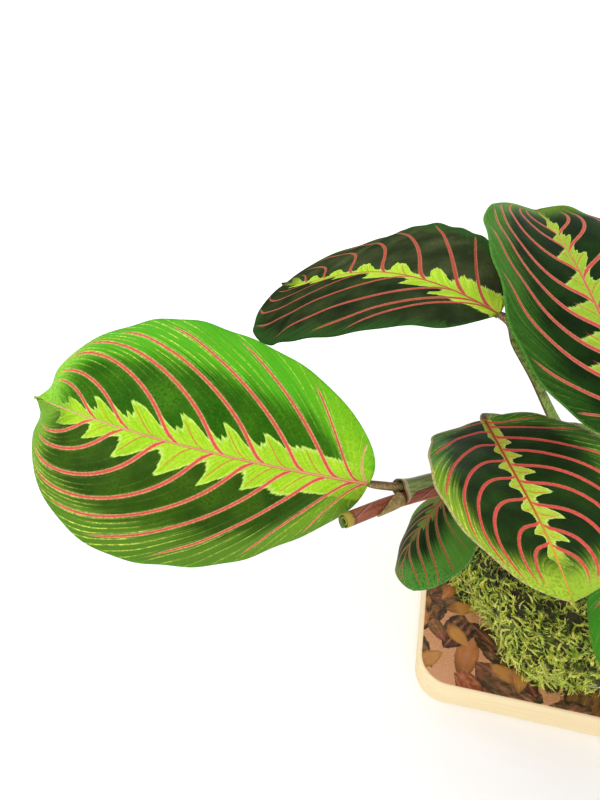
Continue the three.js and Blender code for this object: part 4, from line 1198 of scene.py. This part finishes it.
def slab(name, profile, corner, finish):
    """A slab with round corners. profile is a list of (half width, height) from its underside up."""
    points = []
    widest = max(half for half, _ in profile)
    for half, z in profile:
        points += [(x, y, z) for x, y in rounded_square(half, corner - (widest - half))]
    count = len(points) // len(profile)
    faces = ring_faces(len(profile), count)
    faces.append(tuple(range(count - 1, -1, -1)))
    faces.append(tuple(range(len(points) - count, len(points))))
    piece = make_piece(name, points, faces, [finish])
    piece.data.set_sharp_from_angle(angle=math.radians(SHARP))
    return piece


def board_profile(steps=6):
    """The board's side from its underside up, with both edges rounded."""
    edge, top = BOARD["round"], BOARD["thickness"]
    middle = BOARD["side"] / 2 - edge
    quarter = [math.pi / 2 * k / steps for k in range(steps + 1)]
    low = [(middle + edge * math.sin(a), edge - edge * math.cos(a)) for a in quarter]
    return low + [(middle + edge * math.cos(a), top - edge + edge * math.sin(a)) for a in quarter]


def board_finish():
    """Pale wood with its grain along the board's front edge."""
    finish = Finish("board_wood", roughness=0.55, specular=0.3)
    x, y, z = finish.split(finish.place())
    warp = finish.noise(finish.join(x * 0.02, y * 0.05, z * 0.05), 1.0, detail=2)
    rings = finish.noise(finish.join(x * 0.012, y * 0.5, z * 0.5), 1.0, detail=4, roughness=0.6)
    pores = finish.noise(finish.join(x * 0.12, y * 3.2, z * 3.2), 1.0, detail=2)
    tint = finish.over(finish.shades((rings + (warp - 0.5) * 0.4).ramp(0.3, 0.75), "EBD9B0", "E3CE9E"),
                       (warp.ramp(0.45, 0.75) * 0.35, "E8D2B2"), (pores.ramp(0.6, 0.75) * 0.14, "D2B27A"))
    return finish.coat(tint, 0.5 + pores * 0.2, pores * 0.5 + rings * 0.5, 0.12)


# The printed leaves' colours, by chance, and their layers from the lowest up: the space between leaves,
# half length and half width, colours, share of the spaces that hold one, shift and how dark the edges are
GREENS = ((0.0, "1E2412"), (0.35, "2E361A"), (0.6, "46381A"), (0.85, "2E1C14"))
BROWNS = ((0.0, "A9682C"), (0.35, "7E3418"), (0.6, "BA8438"), (0.85, "6B4A20"))
PRINT_LAYERS = (
    (25, (15, 7), BROWNS, 0.85, 41, 0.35), (33, (21, 10), GREENS, 0.95, 12, 0.9),
    (27, (15, 6.5), GREENS, 0.7, 70, 0.9), (17, (9, 3.6), BROWNS, 0.6, 113, 0.35))


def leaf_motif(finish, x, y, cell, size, tints, share, edge_share):
    """A layer of scattered leaf shapes: where they are, and their colour."""
    spots = {"Vector": finish.join(x / cell, y / cell), "Scale": 1.0, "Randomness": 0.85}
    spot = finish.node("ShaderNodeTexVoronoi", {"voronoi_dimensions": "2D"}, spots).socket.node.outputs
    chance = finish.node("ShaderNodeSeparateColor", None, {0: Tone(finish, spot["Color"])}).socket.node
    first, second, third = (Tone(finish, output) for output in chance.outputs)
    px, py, _ = finish.split(Tone(finish, spot["Position"]))
    dx, dy = x - px * cell, y - py * cell
    angle = first * FULL_TURN
    cosine, sine = angle.math("COSINE", angle), angle.math("SINE", angle)
    along = dx * cosine + dy * sine
    across = abs(dy * cosine - dx * sine)
    length, width = size
    ripple = finish.noise(finish.join(x, y), 0.35, detail=3) - 0.5
    taper = 1 - (along / length) * (along / length)
    inside = taper * width * (0.8 + second * 0.4) + ripple * width * 0.3 - across
    mask = inside.ramp(-0.1, 0.3) * (third - (1 - share)).ramp(0.0, 0.01)
    flat = finish.curve(second, [(place, colour(code)) for place, code in tints])
    flat.socket.node.color_ramp.interpolation = "CONSTANT"
    veins = abs((along * 0.9 - across * 0.8) % 3.4 - 1.7)
    brush = finish.join(along * 0.16 + third * 50, across * 0.4 + second * 30)
    strokes = finish.noise(brush, 1.0, detail=3, roughness=0.6)
    light = finish.shades(third, "B07A2A", "B4705A")
    tint = finish.mix(strokes.ramp(0.4, 0.72) * (1 - across / width * 0.6) * 0.9, flat, light)
    tint = finish.mix((0.3 - veins).ramp(-0.3, 0.3) * 0.15, tint, light)
    tint = finish.over(tint, ((along / length + strokes - 0.5).ramp(0.0, 0.9) * 0.75, "5E2A1A"))
    tint = finish.mix((0.3 - across).ramp(-0.3, 0.3) * 0.4, tint, light)
    shadow = (inside + (strokes - 0.5) * 6).ramp(0.4 * width, 0.0) * edge_share
    return mask, finish.over(tint, (shadow, "1C1E10"))


def print_finish():
    """Brown paper printed with loose leaves in dark green, brown, ochre and maroon."""
    finish = Finish("printed_top", roughness=0.55, specular=0.3)
    place = finish.place()
    x, y, z = finish.split(place)
    fibre = finish.noise(place, 1.1, detail=4, roughness=0.7)
    blotch = finish.noise(place, 0.05, detail=3)
    shade = finish.noise(finish.join(x * 0.35, y * 0.35), 1.0, detail=3)
    paper = finish.over(finish.shades(fibre.ramp(0.3, 0.7), "B47C50", "D09A6C"),
                        (blotch.ramp(0.4, 0.65) * 0.5, "CC9674"))
    for cell, size, tints, share, shift, edge_share in PRINT_LAYERS:
        mask, tint = leaf_motif(finish, x + shift, y - shift, cell, size, tints, share, edge_share)
        paper = finish.mix(mask * 0.97, paper, finish.over(tint, (shade.ramp(0.55, 0.7) * 0.3, "B98E5A")))
    return finish.coat(paper, 0.5 + fibre * 0.15, fibre, 0.06)


dress(slab("board_body", board_profile(), BOARD["corner"], board_finish()), "board_wood", "board")
sheet_half = BOARD["side"] / 2 - SHEET["inset"]
sheet_profile = [(sheet_half, BOARD["thickness"]), (sheet_half, BOARD_TOP - SHEET["bevel"]),
                 (sheet_half - SHEET["bevel"], BOARD_TOP)]
dress(slab("printed_top", sheet_profile, BOARD["corner"] - SHEET["inset"], print_finish()),
      "printed_sheet", "print_sheet")


# Moss, its bed and the thread round it

# The bed's points around and up, how deep it goes into the sheet below it, and the seed and number of
# its small waves
BED = {"grid": (200, 64), "sink": 0.2, "seed": 5, "waves": 14}
# Where the moss reaches further over the board, or less far: heading and spread in degrees, and mm.
# It fades out over SPREAD_HEIGHT above the board.
MOSS_SPREAD = (
    (-112, 11, 5.0), (-145, 16, -6.5), (-170, 12, 2.5), (-60, 14, 3.0), (-20, 18, -2.0), (35, 16, 3.0),
    (95, 20, -2.5), (150, 16, 2.5))
SPREAD_HEIGHT = 16
# The faces of a leaflet, whose points are its back, its front, its tip and a high one between them
LEAFLET = ((0, 1, 3), (1, 2, 3), (2, 0, 3), (0, 2, 1))
# The five growths: a frond's length, pairs of leaflets, leaflet, arch, curl and stem half width, then
# fronds a square metre, smallest and largest size, flattest and steepest tilt, and dark, middle and
# light colour. The fringe grows on the bed's lowest rows.
MOSS_GROWTHS = {
    "moss_fronds_fine": (
        (7.0, 6, 1.0, 0.6, 2.3, 0.4), 62000, (0.6, 1.3), (0.0, 0.5), ("4A4C16", "BEC63A", "E0E074")),
    "moss_fronds_light": (
        (8.0, 9, 1.3, 0.5, 1.9, 0.5), 60000, (0.6, 1.35), (-0.1, 0.4), ("3E4610", "B2BE34", "DADE6C")),
    "moss_fronds_green": (
        (8.0, 8, 1.4, 0.4, -1.9, 0.46), 66000, (0.6, 1.25), (-0.1, 0.3), ("28380A", "769628", "B8CA4E")),
    "moss_strands": (
        (11.0, 4, 0.9, 0.6, 2.6, 0.3), 22000, (0.5, 1.1), (0.0, 0.5), ("3C3A14", "8E8C38", "D0CE76")),
    "moss_fringe": (
        (7.5, 8, 1.2, 0.1, 1.0, 0.36), 90000, (0.5, 1.2), (0.3, 1.35), ("505C1A", "9AAA34", "C6D260")),
}
FRINGE_ROWS = 6
# The first seeds of the fronds' own shapes and of where they grow
FROND_SEED, GROWTH_SEED = 3, 11


def mound_radius(height):
    share = np.clip(height / MOUND["height"], 0, 1)
    return MOUND["radius"] * (1 - share ** MOUND["top_power"]) ** (1 / MOUND["side_power"])


def moss_lump(angle, height):
    """How far broad and small lumps stand out from the mound, as in the solids."""
    wide = np.sin(5 * angle + 0.11 * height + 0.6) * np.cos(3 * angle - 0.08 * height)
    small = np.sin(11 * angle - 0.19 * height + 2) * np.cos(0.24 * height + 4 * angle)
    return MOSS_LUMP * (0.6 * wide + 0.55 * small)


def round_mound(radius, angle, height):
    """Points around the mound's middle, at heights from the ground."""
    return np.stack([MOUND["x"] + radius * np.cos(angle), MOUND["y"] + radius * np.sin(angle),
                     np.broadcast_to(height, angle.shape)], 1)


def moss_surface():
    """Points of the moss mat in soft lumps, the faces of its outside and those of its underside."""
    sides, rings = BED["grid"]
    draws = np.random.default_rng(BED["seed"])
    waves = [(draws.integers(9, 60), *(draws.uniform(*ends) for ends in ((-0.9, 0.9), (0, 6.28), (0.2, 0.5))))
             for _ in range(BED["waves"])]
    angle = FULL_TURN * np.arange(sides) / sides
    points = [(MOUND["x"], MOUND["y"], BOARD_TOP - BED["sink"])]
    for k in range(rings):
        height = MOUND["height"] * math.sin(0.5 * math.pi * k / rings) ** 0.9
        rough = sum(size * np.sin(turns * angle + rise * height + start)
                    for turns, rise, start, size in waves)
        lumps = (moss_lump(angle, height) + rough * 0.55 - 0.8) * min(1.0, 3.0 * (1 - k / rings))
        foot = sum(reach * hill((np.degrees(angle) - heading + 180) % 360 - 180, spread)
                   for heading, spread, reach in MOSS_SPREAD) * hill(height, SPREAD_HEIGHT)
        z = height + 0.4 * math.sin(k * 0.7) if k else -BED["sink"]
        points.extend(round_mound(mound_radius(height) + lumps + foot, angle, BOARD_TOP + z))
    points.append((MOUND["x"], MOUND["y"], BOARD_TOP + MOUND["height"] - 0.5))
    last = len(points) - 1
    pairs = [(j, (j + 1) % sides) for j in range(sides)]
    outside = ring_faces(rings, sides, 1) + [(last, last - sides + j, last - sides + k) for j, k in pairs]
    return points, outside, [(0, 1 + k, 1 + j) for j, k in pairs]


def frond(name, length, pairs, leaflet, arch, curl, thick, seed):
    """One small frond lying along X: a bent stem with pointed leaflets on both sides."""
    draws = np.random.default_rng(seed)
    share = np.linspace(0, 1, 7)
    middle = (share[:-1] + share[1:]) / 2
    heading, rise = curl * middle ** 1.2, arch * (1 - 1.5 * middle)
    steps = np.stack([np.cos(heading) * np.cos(rise), np.sin(heading) * np.cos(rise), np.sin(rise)], 1)
    spine = np.concatenate([np.zeros((1, 3)), np.cumsum(steps * length / len(steps), axis=0)])
    corners = (FULL_TURN * np.arange(3) / 3 + 0.5)[:, None]
    ring = around(corners, np.array((0.0, 1.0, 0.0)), np.array((0.0, 0.0, 1.0)))
    points = [*(spine[:, None] + (thick * (1 - 0.45 * share))[:, None, None] * ring).reshape(-1, 3)]
    last = len(points) - 3
    faces = [*ring_faces(len(spine), 3), (2, 1, 0), (last, last + 1, last + 2)]
    shares = [*np.repeat(share, 3)]
    for at in (np.arange(pairs) + 0.7) / (pairs + 0.4):
        root, ahead = rows_at(at, share, spine), unit(rows_at(at, middle, steps))
        beside = unit(np.cross((0.0, 0.0, 1.0), ahead))
        above = np.cross(ahead, beside)
        for side in (1, -1):
            size = leaflet * math.sin(math.pi * min(at * 0.8 + 0.22, 1)) ** 0.7 * draws.uniform(0.75, 1.2)
            tip = draws.uniform(0.7, 1.1) * ahead + side * 0.6 * beside + draws.uniform(-0.15, 0.4) * above
            high = 0.1 * ahead + side * 0.35 * beside + 0.22 * above
            faces += [tuple(len(points) + corner for corner in face[::side]) for face in LEAFLET]
            points += [root + size * way for way in (-0.26 * ahead, 0.34 * ahead, tip, high)]
            shares += [at, at, min(at + 0.25, 1), at]
    piece = make_piece(name, points, faces, [], smooth=False)
    set_point_values(piece, "frond_share", shares)
    return piece


class Growth:
    """A node tree that scatters one shape over a surface. Its sizes are its named inputs."""

    INPUTS = {
        "Surface": "Geometry", "Shape": "Object", "Density": "Float", "Seed": "Int", "Smallest": "Float",
        "Largest": "Float", "Flattest": "Float", "Steepest": "Float", "Finish": "Material"}

    def __init__(self):
        self.tree = bpy.data.node_groups.new("scatter", "GeometryNodeTree")
        face = self.tree.interface
        self.sockets = {name: face.new_socket(name, in_out="INPUT", socket_type="NodeSocket" + kind)
                        for name, kind in self.INPUTS.items()}
        face.new_socket("Grown", in_out="OUTPUT", socket_type="NodeSocketGeometry")
        given = self.tree.nodes.new("NodeGroupInput").outputs
        points = self.node("GeometryNodeDistributePointsOnFaces", {"distribute_method": "RANDOM"},
                           {"Mesh": given["Surface"], "Density": given["Density"], "Seed": given["Seed"]})
        # Fronds near each other turn alike, and each a little its own way
        field = self.node("ShaderNodeTexNoise", {"noise_dimensions": "3D"}, {"Scale": 55.0, "Detail": 1.0})
        turn = self.math("ADD", self.math("MULTIPLY", field, 14.0), self.draw(-1.7, 1.7, given["Seed"]))
        lean = self.math("MULTIPLY", self.draw(given["Flattest"], given["Steepest"], given["Seed"]), -1.0)
        angles = self.node("ShaderNodeCombineXYZ", None, {0: self.draw(-0.9, 0.9, 91), 1: lean, 2: turn})
        aim = self.node("FunctionNodeRotateRotation", {"rotation_space": "LOCAL"},
                        {0: points.node.outputs["Rotation"],
                         1: self.node("FunctionNodeEulerToRotation", None, {0: angles})})
        toned = self.node("GeometryNodeStoreNamedAttribute", {"data_type": "FLOAT", "domain": "POINT"},
                          {"Geometry": points, "Name": "frond_tone", "Value": self.draw(0.0, 1.0, 17)})
        shape = self.node("GeometryNodeObjectInfo", {"transform_space": "ORIGINAL"},
                          {"Object": given["Shape"]}, "Geometry")
        size = self.draw(given["Smallest"], given["Largest"], 33)
        set_out = self.node("GeometryNodeInstanceOnPoints", None,
                            {"Points": toned, "Instance": shape, "Rotation": aim, "Scale": size})
        real = self.node("GeometryNodeRealizeInstances", None, {"Geometry": set_out})
        coated = self.node("GeometryNodeSetMaterial", None, {"Geometry": real, "Material": given["Finish"]})
        self.tree.links.new(coated, self.tree.nodes.new("NodeGroupOutput").inputs[0])

    def node(self, kind, settings, sockets, output=0):
        made = self.tree.nodes.new(kind)
        for key, value in (settings or {}).items():
            setattr(made, key, value)
        for key, value in sockets.items():
            if isinstance(value, bpy.types.NodeSocket):
                self.tree.links.new(value, made.inputs[key])
            else:
                made.inputs[key].default_value = value
        return made.outputs[output]

    def math(self, operation, first, second):
        return self.node("ShaderNodeMath", {"operation": operation}, {0: first, 1: second})

    def draw(self, low, high, seed):
        """A number drawn for each point."""
        return self.node("FunctionNodeRandomValue", {"data_type": "FLOAT"}, {2: low, 3: high, 8: seed}, 1)

    def grow(self, name, surface, **given):
        """The plain mesh that grows from a surface."""
        host = bpy.data.objects.new(name + "_host", surface.data.copy())
        bpy.context.scene.collection.objects.link(host)
        modifier = host.modifiers.new("scatter", "NODES")
        modifier.node_group = self.tree
        for key, value in given.items():
            modifier[self.sockets[key.capitalize()].identifier] = value
        graph = bpy.context.evaluated_depsgraph_get()
        mesh = bpy.data.meshes.new_from_object(host.evaluated_get(graph), depsgraph=graph)
        bpy.data.objects.remove(host)
        mesh.name = name
        piece = bpy.data.objects.new(name, mesh)
        bpy.context.scene.collection.objects.link(piece)
        return piece


def moss_finish(name, dark, middle, light, gloss=0.6):
    """Lighter toward the fronds' tips, in patches and low on the mound, and each frond its own tone. The
    darker top of the mound is painted shade from the leaves above, and the fronds' darker feet are partly
    their own colour and partly painted shade deep in the mat.
    """
    finish = Finish(name, roughness=0.8, sheen=0.15, specular=0.2)
    tone, share = (finish.attribute(key, "Fac") for key in ("frond_tone", "frond_share"))
    place = finish.place()
    patch = finish.noise(place, 0.07, detail=3)
    clump = finish.noise(place, 0.24, detail=2)
    grain = finish.noise(place, 1.2, detail=3)
    # Painted shade: darker high on the mound under the leaves, and toward the fronds' feet deep in the mat,
    # which is partly also their own colour.
    height_shading = ((46 - finish.split(place)[2]) * 0.015).least(0.3)
    amount = (tone * 0.6 + share * 0.65 + (patch - 0.5) * 1.6 + (clump - 0.5) * 2.2 + (grain - 0.5) * 0.9
              + height_shading - 0.04)
    tint = finish.over(finish.shades(amount.ramp(0.02, 0.5), dark, middle), (amount.ramp(0.5, 0.9), light))
    return finish.coat(tint, gloss + grain * 0.3, grain, 0.3)


def moss():
    """The bed, and the growths that stand on it."""
    points, outside, under = moss_surface()
    finish = moss_finish("moss_bed", "2E2C0C", "626E20", "7A6E2E", 0.5)
    bed = make_piece("moss_bed", points, outside + under, [finish])
    growth = Growth()
    for k, (name, (shape, density, sizes, tilt, tints)) in enumerate(MOSS_GROWTHS.items()):
        one = frond(name + "_one", *shape, seed=FROND_SEED + k)
        faces = outside[:FRINGE_ROWS * BED["grid"][0]] if name == "moss_fringe" else outside
        ground = make_piece(name + "_ground", points, faces, [])
        piece = growth.grow(name, ground, shape=one, density=float(density), seed=GROWTH_SEED + k,
                            smallest=sizes[0], largest=sizes[1], flattest=tilt[0], steepest=tilt[1],
                            finish=moss_finish(name, *tints))
        for spare in (one, ground):
            bpy.data.objects.remove(spare)
        dress(piece, "sheet_moss")
    dress(bed, "sheet_moss", "moss_cover")


def thread_finish():
    """Clear thread, painted pale grey with brighter turns: painted reflections, as the thread itself is
    clear.
    """
    finish = Finish("clear_thread", roughness=0.25, specular=0.5)
    fine = finish.noise(finish.place(), 0.5, detail=2)
    # The pale grey and its brighter patches are painted reflections.
    return finish.coat(finish.shades(fine.ramp(0.35, 0.65), "CFCFC2", "F0EFE6"), 0.2 + fine * 0.2, fine, 0.02)


def binding_thread():
    """The thread wound round the moss, with its lower end a little loose."""
    per_turn = 60
    steps = int(THREAD["turns"] * per_turn)
    count = np.arange(steps + 1)
    angle = FULL_TURN * count / per_turn - 0.5 * np.pi
    height = between(THREAD["heights"], count / steps) + THREAD["tilt"] * np.sin(angle)
    radius = mound_radius(height) + moss_lump(angle, height) - THREAD["sink"]
    radius = radius + THREAD["loose"] * hill(count, 5)
    path = round_mound(radius, angle, BOARD_TOP + height)
    points, faces = tube(path, np.full(steps + 1, THREAD["diameter"] / 2), 6)
    dress(make_piece("thread_turns", points, faces, [thread_finish()]), "clear_thread", "binding_thread")


def soil_finish():
    """Dark crumbs with paler roots."""
    finish = Finish("root_soil", roughness=0.95, specular=0.2)
    place = finish.place()
    crumbs = finish.noise(place, 0.5, detail=4, roughness=0.7)
    roots = finish.noise(place, 0.15, detail=3)
    tint = finish.over(finish.shades(crumbs.ramp(0.35, 0.65), "2A1C12", "4A3524"),
                       (roots.ramp(0.56, 0.6) * 0.5, "A08A62"))
    return finish.coat(tint, 0.9, crumbs, 0.8)


moss()
binding_thread()
root_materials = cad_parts["root_ball"].data.materials
root_materials.clear()
root_materials.append(soil_finish())


# Floor, light and camera

FLOOR_REACH = 4000.0
# Even light from wide patches of sky: where each is, its width in degrees and its strength
SUNS = {"key_light": ((-0.4, 0.45, 1.2), 45, 0.9), "front_light": ((-0.15, -0.8, 0.75), 50, 0.9)}
# The camera is where the photo was taken from, in metres, and has the photo's view
CAMERA_PLACE = (-0.101334, -0.224241, 0.318)
CAMERA_AIM = (-0.168412, 0.747303, -0.642788)
PHOTO_LONG_SIDE = 800
PHOTO_FOCAL_PIXELS = 600
SENSOR = 36.0


def stage_floor():
    finish = Finish("floor", roughness=0.9)
    finish.coat(finish.shades(finish.noise(finish.place(), 0.004), "F7F7F5", "FAFAF9"))
    corners = [(x * FLOOR_REACH, y * FLOOR_REACH, 0) for x, y in ((-1, -1), (1, -1), (1, 1), (-1, 1))]
    make_piece("floor", corners, [(0, 1, 2, 3)], [finish.material])


def soft_sun(name, place, spread, strength):
    lamp = bpy.data.lights.new(name, "SUN")
    lamp.angle = math.radians(spread)
    lamp.energy = strength
    holder = bpy.data.objects.new(name, lamp)
    holder.location = place
    holder.rotation_euler = (-Vector(place)).to_track_quat("-Z", "Y").to_euler()
    bpy.context.scene.collection.objects.link(holder)


def white_world():
    world = bpy.data.worlds.new("studio")
    world.use_nodes = True
    background = world.node_tree.nodes["Background"]
    background.inputs["Color"].default_value = (1, 1, 1, 1)
    background.inputs["Strength"].default_value = 1.0
    bpy.context.scene.world = world
    bpy.context.scene.view_settings.view_transform = "Standard"


def set_camera():
    camera = bpy.data.objects.new("camera", bpy.data.cameras.new("camera"))
    camera.data.sensor_width = SENSOR
    camera.data.lens = SENSOR * PHOTO_FOCAL_PIXELS / PHOTO_LONG_SIDE
    camera.data.clip_start = 0.01
    camera.location = CAMERA_PLACE
    camera.rotation_euler = Vector(CAMERA_AIM).to_track_quat("-Z", "Y").to_euler()
    bpy.context.scene.collection.objects.link(camera)
    bpy.context.scene.camera = camera


stage_floor()
white_world()
for name, row in SUNS.items():
    soft_sun(name, *row)
set_camera()
